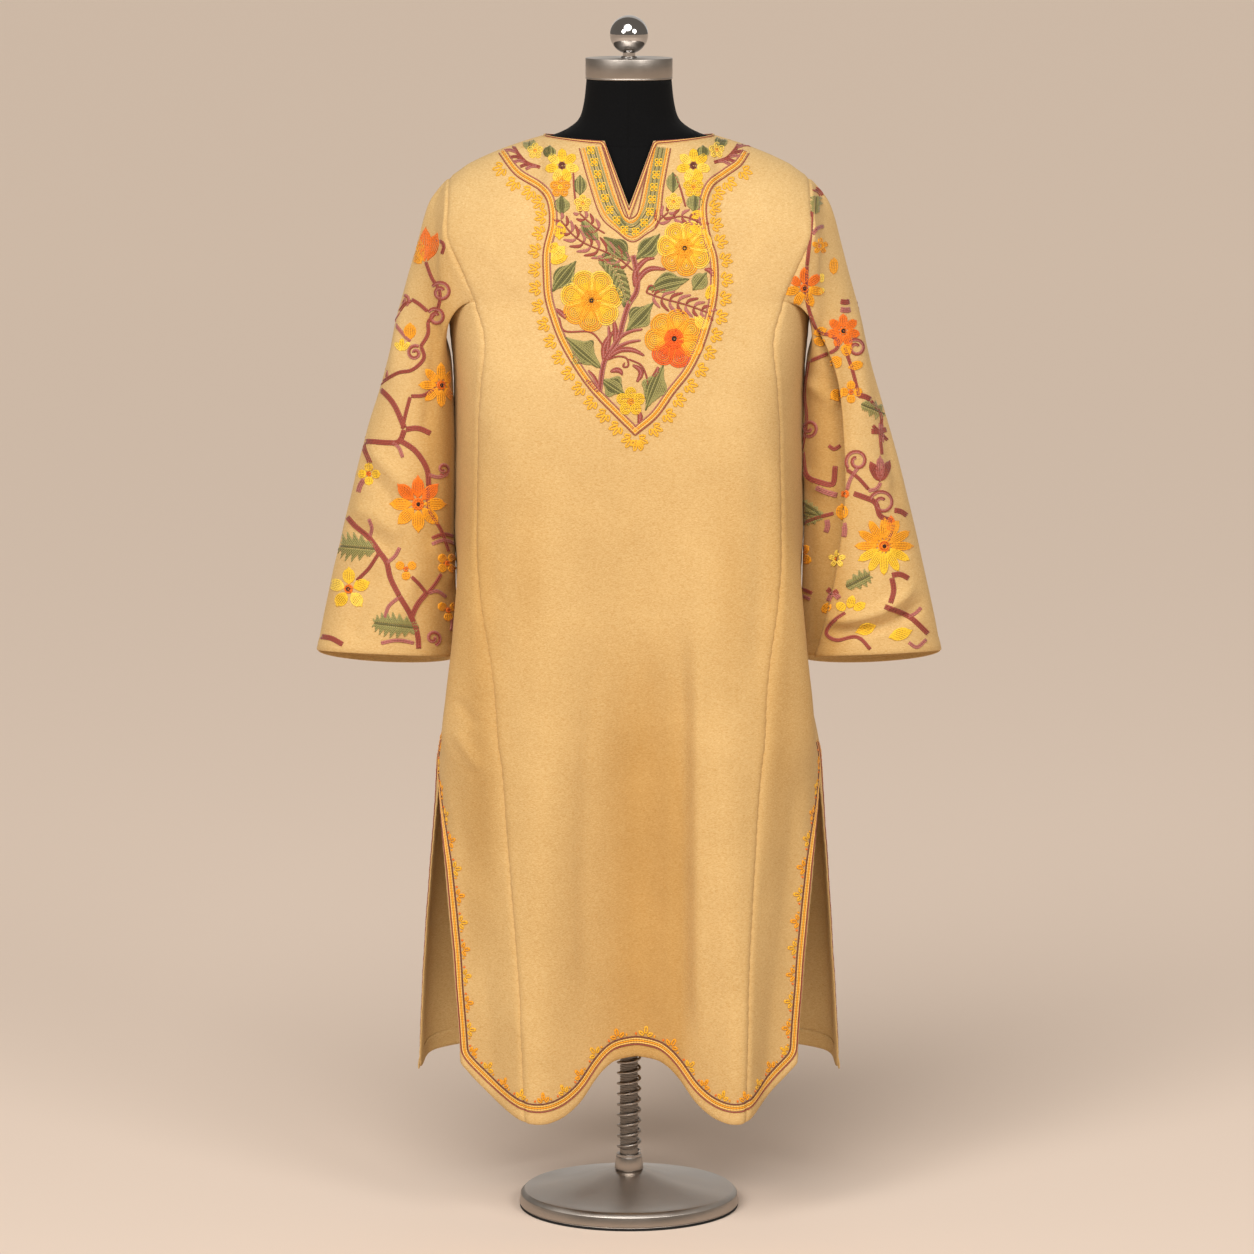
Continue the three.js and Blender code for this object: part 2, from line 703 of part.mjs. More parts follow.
function basePlate() {
  const { radius, rimRadius, rimZ, coneZ, hubRadius } = BASE;
  return turned(
    [
      [0, 0],
      [radius, 0],
      [radius + 0.6, 3],
      [rimRadius + 1.5, rimZ - 3],
      [rimRadius - 1, rimZ],
      [mix(rimRadius, hubRadius, 0.5), mix(rimZ, coneZ, 0.36)],
      [hubRadius + 16, coneZ - 6],
      [hubRadius, coneZ],
      [0, coneZ],
    ],
    56,
  );
}

// The collar that the pole stands in, open at its top.
function baseCollar() {
  const { coneZ, collarZ, hubRadius } = BASE;
  const bore = POLE.radius + SEAM_GAP;
  const low = coneZ + SEAM_GAP;
  return turned(
    [
      [0, low],
      [hubRadius, low],
      [hubRadius, low + 2],
      [hubRadius - 1.4, collarZ - 1],
      [hubRadius - 2.2, collarZ],
      [bore, collarZ],
      [bore, low + 3],
      [0, low + 3],
    ],
    POLE.sides,
  );
}

function pole() {
  const low = BASE.coneZ + 2 * SEAM_GAP + 3;
  const high = FORM.bottomZ - SEAM_GAP;
  return turned(
    [
      [0, low],
      [POLE.radius, low],
      [POLE.radius, high],
      [0, high],
    ],
    POLE.sides,
  );
}

// The ring clamped on the pole that the spring ends under.
function springStop() {
  const low = SPRING.topZ + SPRING.wire + SEAM_GAP;
  const bore = POLE.radius + SEAM_GAP;
  return turned(
    [
      [bore, low],
      [STOP.radius, low],
      [STOP.radius, low + STOP.height],
      [bore, low + STOP.height],
      [bore, low],
    ],
    POLE.sides,
  );
}

class Helix extends THREE.Curve {
  constructor(radius, low, high, pitch) {
    super();
    Object.assign(this, { radius, low, high, turns: (high - low) / pitch });
  }
  getPoint(t, target = new THREE.Vector3()) {
    const angle = 2 * Math.PI * this.turns * t;
    const z = mix(this.low, this.high, t);
    return target.set(this.radius * Math.cos(angle), this.radius * Math.sin(angle), z);
  }
}

function spring() {
  const { wire, radius, pitch, topZ, steps, sides } = SPRING;
  const low = BASE.collarZ + SEAM_GAP + wire;
  const path = new Helix(radius, low, topZ, pitch);
  const section = new THREE.Shape(
    Array.from({ length: sides }, (_, i) => {
      const angle = (2 * Math.PI * i) / sides;
      return new THREE.Vector2(wire * Math.cos(angle), wire * Math.sin(angle));
    }),
  );
  const count = Math.round(((topZ - low) / pitch) * steps);
  return new THREE.ExtrudeGeometry(section, { steps: count, extrudePath: path, bevelEnabled: false });
}

// The flange under the torso that the pole screws into.
function torsoFlange() {
  const high = FORM.bottomZ - SEAM_GAP;
  const bore = POLE.radius + SEAM_GAP;
  return turned(
    [
      [bore, high - 22],
      [24, high - 22],
      [26, high - 8],
      [45, high - 5],
      [45, high],
      [bore, high],
      [bore, high - 22],
    ],
    POLE.sides,
  );
}

const pheran = new THREE.Group();

for (const side of ["front", "back"]) {
  add(pheran, `${side}_panel`, middlePanel(side), MATERIALS.cloth);
  add(pheran, `neck_binding_${side}`, neckBinding(side), MATERIALS.binding);
  for (const [hand, name] of [
    [-1, "left"],
    [1, "right"],
  ]) {
    add(pheran, `${side}_gore_${name}`, sideGore(side, hand), MATERIALS.cloth);
  }
}
add(pheran, "sleeve_left", sleeve(-1), MATERIALS.cloth);
add(pheran, "sleeve_right", sleeve(1), MATERIALS.cloth);

add(pheran, "form_torso", torso(), MATERIALS.jersey);
add(pheran, "form_neck_cap", neckCap(), MATERIALS.steel);
add(pheran, "form_ball", ball(), MATERIALS.chrome);
add(pheran, "form_flange", torsoFlange(), MATERIALS.steel);
add(pheran, "stand_base", basePlate(), MATERIALS.steel);
add(pheran, "stand_collar", baseCollar(), MATERIALS.steel);
add(pheran, "stand_pole", pole(), MATERIALS.steel);
add(pheran, "stand_spring", spring(), MATERIALS.steel);
add(pheran, "stand_stop", springStop(), MATERIALS.steel);

export default pheran;
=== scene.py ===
"""A knee-length pheran with chain-stitch flowers, worn by a limbless dress form on a round steel stand."""

import json
import math

import bmesh
import bpy
import numpy as np
from bpy.props import FloatProperty, FloatVectorProperty, IntProperty, PointerProperty
from bpy.types import Operator, Panel, PropertyGroup
from mathutils import Vector
from mathutils.bvhtree import BVHTree
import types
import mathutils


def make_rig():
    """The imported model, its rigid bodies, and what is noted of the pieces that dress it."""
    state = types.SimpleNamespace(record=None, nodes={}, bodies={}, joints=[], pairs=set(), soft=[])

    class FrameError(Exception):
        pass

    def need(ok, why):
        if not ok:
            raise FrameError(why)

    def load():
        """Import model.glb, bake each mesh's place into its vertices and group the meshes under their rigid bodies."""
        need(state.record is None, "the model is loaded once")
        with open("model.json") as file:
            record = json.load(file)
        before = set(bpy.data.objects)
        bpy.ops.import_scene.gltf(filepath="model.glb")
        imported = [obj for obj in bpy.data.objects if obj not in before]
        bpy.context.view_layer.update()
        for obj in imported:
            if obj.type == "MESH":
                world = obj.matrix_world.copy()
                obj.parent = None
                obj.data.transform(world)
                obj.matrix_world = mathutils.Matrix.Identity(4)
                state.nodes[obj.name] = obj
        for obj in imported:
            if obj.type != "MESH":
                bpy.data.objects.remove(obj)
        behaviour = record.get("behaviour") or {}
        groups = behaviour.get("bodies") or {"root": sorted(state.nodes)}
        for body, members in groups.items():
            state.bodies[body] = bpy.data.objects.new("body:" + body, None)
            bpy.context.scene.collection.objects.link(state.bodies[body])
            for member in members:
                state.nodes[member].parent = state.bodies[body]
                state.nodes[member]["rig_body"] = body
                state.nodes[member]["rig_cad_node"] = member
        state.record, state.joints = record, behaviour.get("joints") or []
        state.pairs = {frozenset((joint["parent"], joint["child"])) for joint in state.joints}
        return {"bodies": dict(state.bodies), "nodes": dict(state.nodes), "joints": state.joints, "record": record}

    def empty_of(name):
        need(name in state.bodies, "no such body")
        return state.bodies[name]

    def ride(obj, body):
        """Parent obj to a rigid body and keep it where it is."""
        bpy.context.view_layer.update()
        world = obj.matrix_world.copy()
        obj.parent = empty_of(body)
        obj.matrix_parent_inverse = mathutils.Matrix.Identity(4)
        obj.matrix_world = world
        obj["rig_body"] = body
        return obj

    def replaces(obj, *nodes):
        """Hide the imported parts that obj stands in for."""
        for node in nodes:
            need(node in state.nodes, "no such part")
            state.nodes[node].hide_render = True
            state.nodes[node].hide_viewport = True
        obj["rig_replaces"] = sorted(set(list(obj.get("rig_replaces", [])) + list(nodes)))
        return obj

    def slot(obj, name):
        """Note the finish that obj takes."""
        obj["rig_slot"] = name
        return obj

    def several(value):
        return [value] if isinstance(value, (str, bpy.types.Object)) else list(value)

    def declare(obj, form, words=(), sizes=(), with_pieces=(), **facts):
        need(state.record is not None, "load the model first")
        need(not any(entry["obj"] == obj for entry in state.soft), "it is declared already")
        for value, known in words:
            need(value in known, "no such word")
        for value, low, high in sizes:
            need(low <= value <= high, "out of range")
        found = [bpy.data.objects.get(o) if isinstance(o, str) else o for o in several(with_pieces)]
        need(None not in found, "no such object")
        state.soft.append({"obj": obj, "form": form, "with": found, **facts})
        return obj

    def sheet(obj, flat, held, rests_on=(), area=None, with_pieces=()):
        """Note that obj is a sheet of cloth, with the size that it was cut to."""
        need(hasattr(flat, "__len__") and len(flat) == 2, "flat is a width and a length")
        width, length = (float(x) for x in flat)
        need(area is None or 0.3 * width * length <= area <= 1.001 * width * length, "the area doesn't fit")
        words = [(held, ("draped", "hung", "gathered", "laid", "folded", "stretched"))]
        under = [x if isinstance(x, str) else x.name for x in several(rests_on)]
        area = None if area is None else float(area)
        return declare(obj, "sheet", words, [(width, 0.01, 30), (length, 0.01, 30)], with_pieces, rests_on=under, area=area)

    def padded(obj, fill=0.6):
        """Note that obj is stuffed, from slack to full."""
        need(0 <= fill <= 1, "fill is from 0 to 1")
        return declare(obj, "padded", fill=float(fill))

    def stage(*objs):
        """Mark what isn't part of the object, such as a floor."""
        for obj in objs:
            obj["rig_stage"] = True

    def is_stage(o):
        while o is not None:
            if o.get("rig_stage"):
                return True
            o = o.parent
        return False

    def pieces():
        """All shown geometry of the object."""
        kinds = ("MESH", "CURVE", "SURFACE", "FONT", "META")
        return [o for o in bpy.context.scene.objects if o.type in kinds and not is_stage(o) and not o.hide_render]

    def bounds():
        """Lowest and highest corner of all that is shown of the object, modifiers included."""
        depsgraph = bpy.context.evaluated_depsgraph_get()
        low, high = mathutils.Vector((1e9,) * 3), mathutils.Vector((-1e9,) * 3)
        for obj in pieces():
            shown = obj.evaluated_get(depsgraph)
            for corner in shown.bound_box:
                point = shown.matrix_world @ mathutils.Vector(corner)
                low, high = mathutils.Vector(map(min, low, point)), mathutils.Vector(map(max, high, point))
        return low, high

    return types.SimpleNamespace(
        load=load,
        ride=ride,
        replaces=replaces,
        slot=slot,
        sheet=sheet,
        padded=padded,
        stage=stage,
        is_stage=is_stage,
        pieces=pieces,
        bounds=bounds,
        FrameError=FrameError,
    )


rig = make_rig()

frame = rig.load()

bl_info = {
    "name": "Pheran on a Dress Form",
    "version": (1, 0, 0),
    "blender": (4, 5, 0),
    "location": "View3D > Sidebar > Pheran",
    "description": "Builds an embroidered pheran, its dress form and its stand",
    "category": "Add Mesh",
}

MM = 0.001
SIDES = ("front", "back")
HANDS = {"left": -1, "right": 1}


class Table:
    """Rows of numbers under named columns, read smoothly between the rows."""

    def __init__(self, columns, rows):
        self.columns = dict(zip(columns, np.array(rows, float).T))

    def at(self, key, where, column):
        """A column's smooth value where the key column has the given values."""
        keys = self.columns[key]
        values = self.columns[column]
        if keys[-1] < keys[0]:
            keys, values = keys[::-1], values[::-1]
        upper = np.clip(np.searchsorted(keys, where), 1, len(keys) - 1)
        t = np.clip((where - keys[upper - 1]) / (keys[upper] - keys[upper - 1]), 0, 1)
        ends = [2 * values[0] - values[1]], values, [2 * values[-1] - values[-2]]
        padded = np.concatenate(ends)
        return cubic(padded[upper - 1], padded[upper], padded[upper + 1], padded[upper + 2], t)

    def row(self, index):
        return {name: values[index] for name, values in self.columns.items()}


def cubic(a, b, c, d, t):
    return b + 0.5 * t * (c - a + t * (2 * a - 5 * b + 4 * c - d + t * (3 * (b - c) + d - a)))


def mix(a, b, t):
    return a + (b - a) * t


def smooth(t):
    t = np.clip(t, 0, 1)
    return t * t * (3 - 2 * t)


def bell(t):
    return np.where(np.abs(t) < 1, (1 - t * t) ** 2, 0.0)


# The garment's sizes in millimetres, as the frame's solids have them
CLOTH = 2.0
SEAM_GAP = 0.3
CHEST_Z = 1110
UNDERARM_Z = 1082
SLIT_TOP_Z = 556
SLIT_OPENS_OVER = 90
LOWEST_Z = 138
HOLLOW = {"z": 690, "reach_z": 150, "y": -15, "reach_y": 66, "depth": 14}
NECK = {"half_width": 101, "front": 66, "back": 60, "front_z": 1296, "back_z": 1294, "point_z": 1300}
SLIT_NECK = {"half_width": 28.6, "bottom_z": 1222}
SHOULDER_HALF = 213
NECK_SHARE = NECK["half_width"] / SHOULDER_HALF
SLIT_SHARE = SLIT_NECK["half_width"] / SHOULDER_HALF

# Front of the body, a row for each height: the middle, the round fold beside it, the corner where the
# front turns into the side, and the side seam. Under the slit the last pair is the slit's edge.
SECTION_COLUMNS = ["z", "lean", "mid_y", "fold_x", "fold_y", "corner_x", "corner_y", "edge_x", "edge_y"]
FRONT = Table(
    SECTION_COLUMNS,
    [
        [1120, 0, -115, 90, -117, 184, -90, 215, 0],
        [1086, 0, -118, 90, -121, 182, -91, 214, 0],
        [1020, 0, -122, 88, -125, 175, -95, 210, 16],
        [950, 0, -122, 90, -127, 171, -99, 210, 26],
        [855, 1, -121, 95, -130, 181, -101, 209, 28],
        [775, 2, -119, 100, -134, 195, -99, 209, 30],
        [695, 3, -117, 104, -138, 205, -94, 210, 32],
        [600, 4, -113, 108, -142, 214, -82, 221, 3],
        [556, 5, -111, 109, -144, 207, -83, 229, 0],
        [520, 5, -110, 110, -146, 201, -86, 228, -24],
        [440, 6, -106, 112, -150, 191, -95, 222, -64],
        [300, 8, -100, 113, -155, 176, -110, 210, -84],
        [200, 9, -96, 113, -158, 167, -116, 202, -93],
        [130, 10, -95, 112, -160, 161, -120, 196, -99],
    ],
)
BACK = Table(
    SECTION_COLUMNS,
    [
        [1120, 0, 94, 88, 93, 180, 76, 215, 0],
        [1086, 0, 97, 90, 96, 176, 78, 214, 0],
        [1020, 0, 101, 90, 100, 172, 84, 210, 16],
        [950, 0, 104, 92, 104, 174, 89, 210, 26],
        [855, -1, 108, 95, 110, 182, 93, 209, 28],
        [775, -2, 112, 98, 116, 190, 94, 209, 30],
        [695, -3, 115, 101, 120, 200, 92, 210, 32],
        [600, -4, 118, 104, 124, 210, 86, 221, 3],
        [556, -5, 118, 105, 127, 216, 84, 229, 0],
        [440, -6, 118, 108, 131, 222, 86, 240, 27],
        [300, -7, 116, 110, 135, 230, 90, 250, 42],
        [200, -8, 115, 111, 137, 234, 92, 256, 48],
        [130, -8, 115, 112, 138, 237, 93, 260, 52],
    ],
)

# Where the seam between the middle panel and the side gore runs, as a share of the way round to the side.
GORE_SEAM = Table(
    ["z", "share"],
    [
        [1120, 0.67], [1067, 0.62], [1000, 0.68], [950, 0.71], [855, 0.665], [757, 0.57],
        [667, 0.5], [600, 0.475], [478, 0.46], [293, 0.435], [138, 0.43],
    ],
)

# The hems' heights against the same share: the front one is cut in two rounds with an arch between them.
FRONT_HEM = [
    [0, 207], [0.08, 202], [0.13, 187], [0.19, 159], [0.25, 144], [0.33, 138],
    [0.45, 141], [0.6, 154], [0.73, 170], [0.87, 184], [1, 198],
]
BACK_HEM = [[0, 186], [0.33, 182], [0.67, 174], [1, 158]]
HEM = {"front": Table(["share", "z"], FRONT_HEM), "back": Table(["share", "z"], BACK_HEM)}

# How a column swings out between the chest line and the shoulder.
SWING = Table(["way", "share"], [[0, 0], [0.17, 0.5], [0.36, 1.05], [0.6, 1.04], [1, 1]])
SHOULDER = Table(["x", "z"], [[101, 1300], [130, 1291], [160, 1280], [190, 1266], [213, 1249]])

# A sleeve's sections from where it hangs free to the cuff: its outer, front, inner and back points.
# The right sleeve folds over itself in front: pleat_x is the fold's edge, and pleat how deep it steps.
SLEEVE = Table(
    [
        *("out_x", "out_z", "front_x", "front_y", "front_z", "in_x", "in_z"),
        *("back_x", "back_y", "back_z", "pleat_x", "pleat"),
    ],
    [
        [239, 1216, 222, -68, 1099, 218.5, 1066, 227, 66, 1098, 219.5, 0],
        [251, 1173, 230, -59, 1076, 212.7, 1040, 234, 62, 1074, 227, 5],
        [265, 1124, 239, -57, 1043, 210.0, 1004, 242, 60, 1040, 238, 13],
        [277, 1082, 246, -57, 1003, 208.4, 962, 248, 61, 1000, 248, 19],
        [291, 1021, 254, -58, 950, 207.8, 906, 256, 62, 946, 254, 21],
        [312, 950, 263, -60, 886, 208.5, 850, 265, 64, 880, 256, 23],
        [332, 872, 272, -62, 822, 207.5, 795, 274, 66, 815, 249, 23],
        [347, 812, 280, -64, 770, 206.5, 748, 282, 68, 758, 240, 22],
        [360, 757, 288, -66, 726, 206, 712, 289, 69, 708, 230, 19],
        [374, 684, 295, -67, 688, 206, 676, 295, 66, 659, 222, 15],
    ],
)
SLEEVE_START = {"ways": (0.13, 0.45), "pull": 34, "under_pull": 62, "arrive": 0.6}
ARMHOLE_UPPER = 7
ARMHOLE_UNDER = 5
ARMHOLE_POINTS = 2 * (ARMHOLE_UPPER + ARMHOLE_UNDER + 1)


def section(side, share, z):
    """Points of one side's section: share 0 is its middle, 1 and -1 its side seams or slit edges."""
    own, other = (FRONT, BACK) if side == "front" else (BACK, FRONT)
    share, z = np.broadcast_arrays(np.asarray(share, float), np.asarray(z, float))
    opened = smooth((SLIT_TOP_Z - z) / SLIT_OPENS_OVER)
    above = z > SLIT_TOP_Z
    edge = [np.where(above, FRONT.at("z", z, k), own.at("z", z, k)) for k in ("edge_x", "edge_y")]
    corner = [own.at("z", z, k) for k in ("corner_x", "corner_y")]
    across = [other.at("z", z, k) for k in ("corner_x", "corner_y")]
    past = [mix(a, 2 * e - c, opened) for a, e, c in zip(across, edge, corner)]
    lean, mid_y, fold_x, fold_y = (own.at("z", z, k) for k in ("lean", "mid_y", "fold_x", "fold_y"))
    right = np.stack([lean + fold_x, corner[0], edge[0], past[0]], -1)
    left = np.stack([-past[0], -edge[0], -corner[0], lean - fold_x], -1)
    turn = np.stack([fold_y, corner[1], edge[1], past[1]], -1)
    knots_x = np.concatenate([left, lean[..., None], right], -1)
    knots_y = np.concatenate([turn[..., ::-1], mid_y[..., None], turn], -1)
    start = np.clip(np.floor(share * 3), -3, 2).astype(int)

    def along(knots):
        four = [np.take_along_axis(knots, (start + 3 + k)[..., None], -1)[..., 0] for k in range(4)]
        return cubic(*four, share * 3 - start)

    x, y = along(knots_x), along(knots_y)
    dent = bell((z - HOLLOW["z"]) / HOLLOW["reach_z"]) * bell((y - HOLLOW["y"]) / HOLLOW["reach_y"])
    return np.stack([x - np.sign(share) * HOLLOW["depth"] * dent, y, z], -1)


def lower_body(side, share, level, dip=0):
    """The body below the chest line: level 0 there, 1 at the slits' tops and 2 at the hem."""
    hem_z = HEM[side].at("share", np.minimum(1, np.abs(share)), "z")
    above = mix(CHEST_Z - dip, SLIT_TOP_Z, level)
    return section(side, share, np.where(level <= 1, above, mix(SLIT_TOP_Z, hem_z, level - 1)))


def seam_share(level):
    above = mix(CHEST_Z, SLIT_TOP_Z, level)
    return GORE_SEAM.at("z", np.where(level <= 1, above, mix(SLIT_TOP_Z, LOWEST_Z, level - 1)), "share")


def shoulder_line(side, share):
    x = np.abs(share) * SHOULDER_HALF
    beyond = x >= NECK["half_width"]
    round_in = np.sqrt(np.clip(1 - (x / NECK["half_width"]) ** 2, 0, 1))
    deep = -NECK["front"] if side == "front" else NECK["back"]
    neck_z = mix(NECK["point_z"], NECK[f"{side}_z"], round_in)
    y = np.where(beyond, 0.0, deep * round_in)
    return np.stack([share * SHOULDER_HALF, y, np.where(beyond, SHOULDER.at("x", x, "z"), neck_z)], -1)


def panel(side, share, level):
    """A middle panel's points: share -1 to 1 across it, level -1 at its top to 2 at the hem."""
    share, level = np.broadcast_arrays(np.asarray(share, float), np.asarray(level, float))
    below = np.maximum(level, 0)
    start = lower_body(side, share * seam_share(below), below)
    end = shoulder_line(side, share)
    way = np.clip(-level, 0, 1)
    arc = (math.pi / 2) * mix(0.62, 1, smooth(np.abs(share) / NECK_SHARE))
    leaning = (np.cos(way * arc) - np.cos(arc)) / (1 - np.cos(arc))
    x = mix(start[..., 0], end[..., 0], SWING.at("way", way, "share"))
    y = mix(end[..., 1], start[..., 1], leaning)
    z = mix(start[..., 2], end[..., 2], np.sin(way * arc) / np.sin(arc))
    return np.where((level < 0)[..., None], np.stack([x, y, z], -1), start)


def gore(side, hand, share, level):
    """A side gore's points: share 0 at its seam to 1 at the side."""
    around = hand * mix(seam_share(level), 1, share)
    return lower_body(side, around, level, (CHEST_Z - UNDERARM_Z) * share)


def solve(over, low, high):
    """Where a rising function of one or more numbers passes nought, between low and high."""
    for _ in range(30):
        middle = (low + high) / 2
        past = over(middle) > 0
        low, high = np.where(past, low, middle), np.where(past, middle, high)
    return (low + high) / 2


def top_level(side, share):
    """The level where each column of a panel starts, which is lower in the neck slit."""
    if side == "back":
        return np.full(share.shape, -1.0)
    wanted = mix(SLIT_NECK["bottom_z"], NECK["front_z"], np.minimum(1, np.abs(share) / SLIT_SHARE))
    found = -solve(lambda way: panel(side, share, -way)[..., 2] - wanted, np.zeros(share.shape), 1.0)
    return np.where(np.abs(share) >= SLIT_SHARE, -1.0, found)


def unit(v):
    return v / np.maximum(np.linalg.norm(v, axis=-1, keepdims=True), 1e-9)


def towards(angle):
    """The way across and up at an angle in radians."""
    return np.array([math.cos(angle), math.sin(angle)])


def circle(count):
    """Angles evenly round a circle."""
    return np.linspace(0, 2 * math.pi, count + 1)[:-1]


def left_of(way):
    """The way turned a quarter to its left."""
    return np.stack([-way[..., 1], way[..., 0]], -1)


def facing(side, up=0.6):
    """The way that a side of the garment looks."""
    return np.array([0, -1.0 if side == "front" else 1.0, up])


def normals_of(points, outward, ring=False):
    """A grid's normals, all turned to the side that outward points to on the whole."""
    padded = np.concatenate([points[:, -1:], points, points[:, :1]], 1) if ring else points
    normals = unit(np.cross(np.gradient(padded, axis=1), np.gradient(padded, axis=0)))
    normals = normals[:, 1:-1] if ring else normals
    return normals if np.sum(normals * outward) > 0 else -normals


def lengths(points, axis):
    """The distance from a grid's first row or column to each of its points, along the grid."""
    steps = np.linalg.norm(np.diff(points, axis=axis), axis=-1)
    start = np.zeros_like(np.take(steps, [0], axis=axis))
    return np.concatenate([start, np.cumsum(steps, axis=axis)], axis)


def run_of(line):
    """The distance from a line's first point to each of its points, along it."""
    return lengths(line[:, None], 0)[:, 0]


def read_at(wanted, keys, rows):
    """Rows of numbers read between their keys at the wanted places."""
    return np.stack([np.interp(wanted, keys, column) for column in rows.T], -1)


# The camera stands where the photograph's did. Its frame is square and is counted in the photograph's pixels.
CAMERA = {"x": -2.4, "y": -6700, "z": 1700, "down": math.radians(8.4), "lens": 162.06, "sensor": 36.0}
FRAME_PIXELS = 1254


def seen_at(across, down, depth_y):
    """The x and z in millimetres that the photograph shows at a pixel, on the upright plane y = depth_y."""
    focal = FRAME_PIXELS * CAMERA["lens"] / CAMERA["sensor"]
    right = (np.asarray(across, float) - FRAME_PIXELS / 2) / focal
    up = (FRAME_PIXELS / 2 - np.asarray(down, float)) / focal
    pitch = CAMERA["down"]
    reach = (depth_y - CAMERA["y"]) / (math.cos(pitch) + up * math.sin(pitch))
    x = CAMERA["x"] + right * reach
    return np.stack([x, CAMERA["z"] + reach * (up * math.cos(pitch) - math.sin(pitch))], -1)


# Soft creases. Each runs through places counted in the photograph's pixels, with its half width
# and height in millimetres; a height below nought is a valley.
CREASES = {
    "front": [
        ([(536, 330), (528, 440), (533, 560), (542, 700), (548, 850), (546, 1000)], 34, 2.6),
        ([(716, 330), (726, 440), (722, 560), (716, 700), (712, 850), (716, 1000)], 34, 2.4),
        ([(628, 600), (640, 720), (646, 860), (640, 1000)], 24, -3.0),
        ([(596, 640), (588, 760), (584, 900), (588, 1030)], 12, -1.4),
        ([(679, 600), (681, 720), (682, 880), (680, 1060)], 11, -4.6),
        ([(697, 600), (699, 720), (700, 880), (699, 1070)], 10, 3.6),
        ([(453, 732), (466, 752), (482, 774)], 7, 2.4),
        ([(456, 700), (466, 716), (478, 730)], 7, -1.8),
        ([(700, 190), (730, 205), (764, 206)], 9, -1.6),
        ([(548, 196), (520, 208), (492, 206)], 9, -1.4),
        ([(500, 420), (492, 500), (494, 600), (502, 700)], 14, -2.2),
        ([(756, 420), (762, 500), (760, 600), (754, 700)], 14, -2.4),
        ([(470, 560), (478, 660), (490, 780), (496, 900)], 11, 1.8),
        ([(788, 540), (780, 660), (770, 780), (764, 900)], 11, 1.8),
        ([(452, 760), (462, 880), (470, 1000)], 12, -1.8),
        ([(800, 760), (792, 880), (786, 1000)], 12, -1.8),
        ([(520, 1000), (530, 1060), (534, 1110)], 12, 1.6),
        ([(742, 990), (736, 1050), (734, 1100)], 12, 1.6),
        ([(470, 232), (500, 262), (520, 300)], 12, 1.2),
        ([(780, 228), (752, 262), (734, 300)], 12, 1.2),
    ],
    "back": [
        ([(560, 330), (552, 480), (548, 640), (544, 800), (540, 1020)], 30, 2.8),
        ([(700, 340), (708, 500), (712, 660), (716, 820), (718, 1020)], 30, 2.6),
        ([(630, 420), (628, 600), (632, 800), (630, 1020)], 22, -2.8),
        ([(500, 560), (496, 700), (490, 860), (484, 1010)], 16, 2.4),
        ([(760, 560), (764, 700), (770, 860), (778, 1010)], 16, 2.2),
        ([(470, 240), (510, 275), (560, 300)], 12, 1.4),
        ([(784, 240), (748, 272), (700, 300)], 12, 1.4),
    ],
    "left": [
        ([(363, 446), (390, 470), (416, 497)], 7, 3.2),
        ([(352, 460), (376, 484), (400, 512)], 8, -2.6),
        ([(347, 509), (375, 517), (406, 537)], 7, 3.0),
        ([(344, 530), (372, 538), (398, 556)], 8, -2.4),
        ([(427, 540), (444, 566), (456, 592)], 9, 2.4),
        ([(404, 262), (396, 330), (388, 392)], 10, 2.0),
        ([(438, 300), (432, 380), (424, 450)], 9, -2.2),
        ([(420, 560), (404, 600), (392, 648)], 12, 2.4),
        ([(380, 560), (362, 604), (350, 650)], 12, -2.2),
    ],
    "right": [
        ([(800, 380), (822, 394), (842, 411)], 7, 2.8),
        ([(792, 470), (816, 486), (840, 504)], 7, 2.8),
        ([(858, 300), (862, 360), (868, 430)], 10, 2.2),
        ([(880, 380), (890, 450), (902, 520)], 9, -2.0),
        ([(846, 440), (872, 462), (898, 492)], 8, 2.6),
        ([(856, 530), (880, 546), (912, 560)], 8, -2.2),
        ([(821, 623), (852, 618), (884, 609), (921, 585)], 6, 6.0),
        ([(826, 634), (856, 631), (892, 623), (932, 600)], 6, -6.0),
    ],
}
CREASE_DEPTH_Y = {"front": -120, "back": -120, "left": -60, "right": -60}
CREASE_STRENGTH = {"front": 1.25, "back": 1.15, "left": 1.8, "right": 1.6}
CREASE_STEP = 14.0
CREASE_FADE = 0.22


def crease_height(places, kind):
    """How far the creases of a part move the cloth out, for points given by x and z."""
    total = np.zeros(places.shape[:-1])
    for pixels, half_width, height in CREASES[kind]:
        line = smooth_path(seen_at(*np.array(pixels, float).T, CREASE_DEPTH_Y[kind]), CREASE_STEP)
        starts, spans = line[:-1], np.diff(line, axis=0)
        run = run_of(line)
        nearest = np.full(total.shape, np.inf)
        share = np.zeros(total.shape)
        for k, (start, span) in enumerate(zip(starts, spans)):
            offset = places - start
            t = np.clip(offset @ span / (span @ span), 0, 1)
            away = np.linalg.norm(offset - t[..., None] * span, axis=-1)
            closer = away < nearest
            nearest = np.where(closer, away, nearest)
            share = np.where(closer, (run[k] + t * (run[k + 1] - run[k])) / run[-1], share)
        ends = smooth(share / CREASE_FADE) * smooth((1 - share) / CREASE_FADE)
        total += height * np.exp(-((nearest / half_width) ** 2)) * ends
    return total * CREASE_STRENGTH[kind]


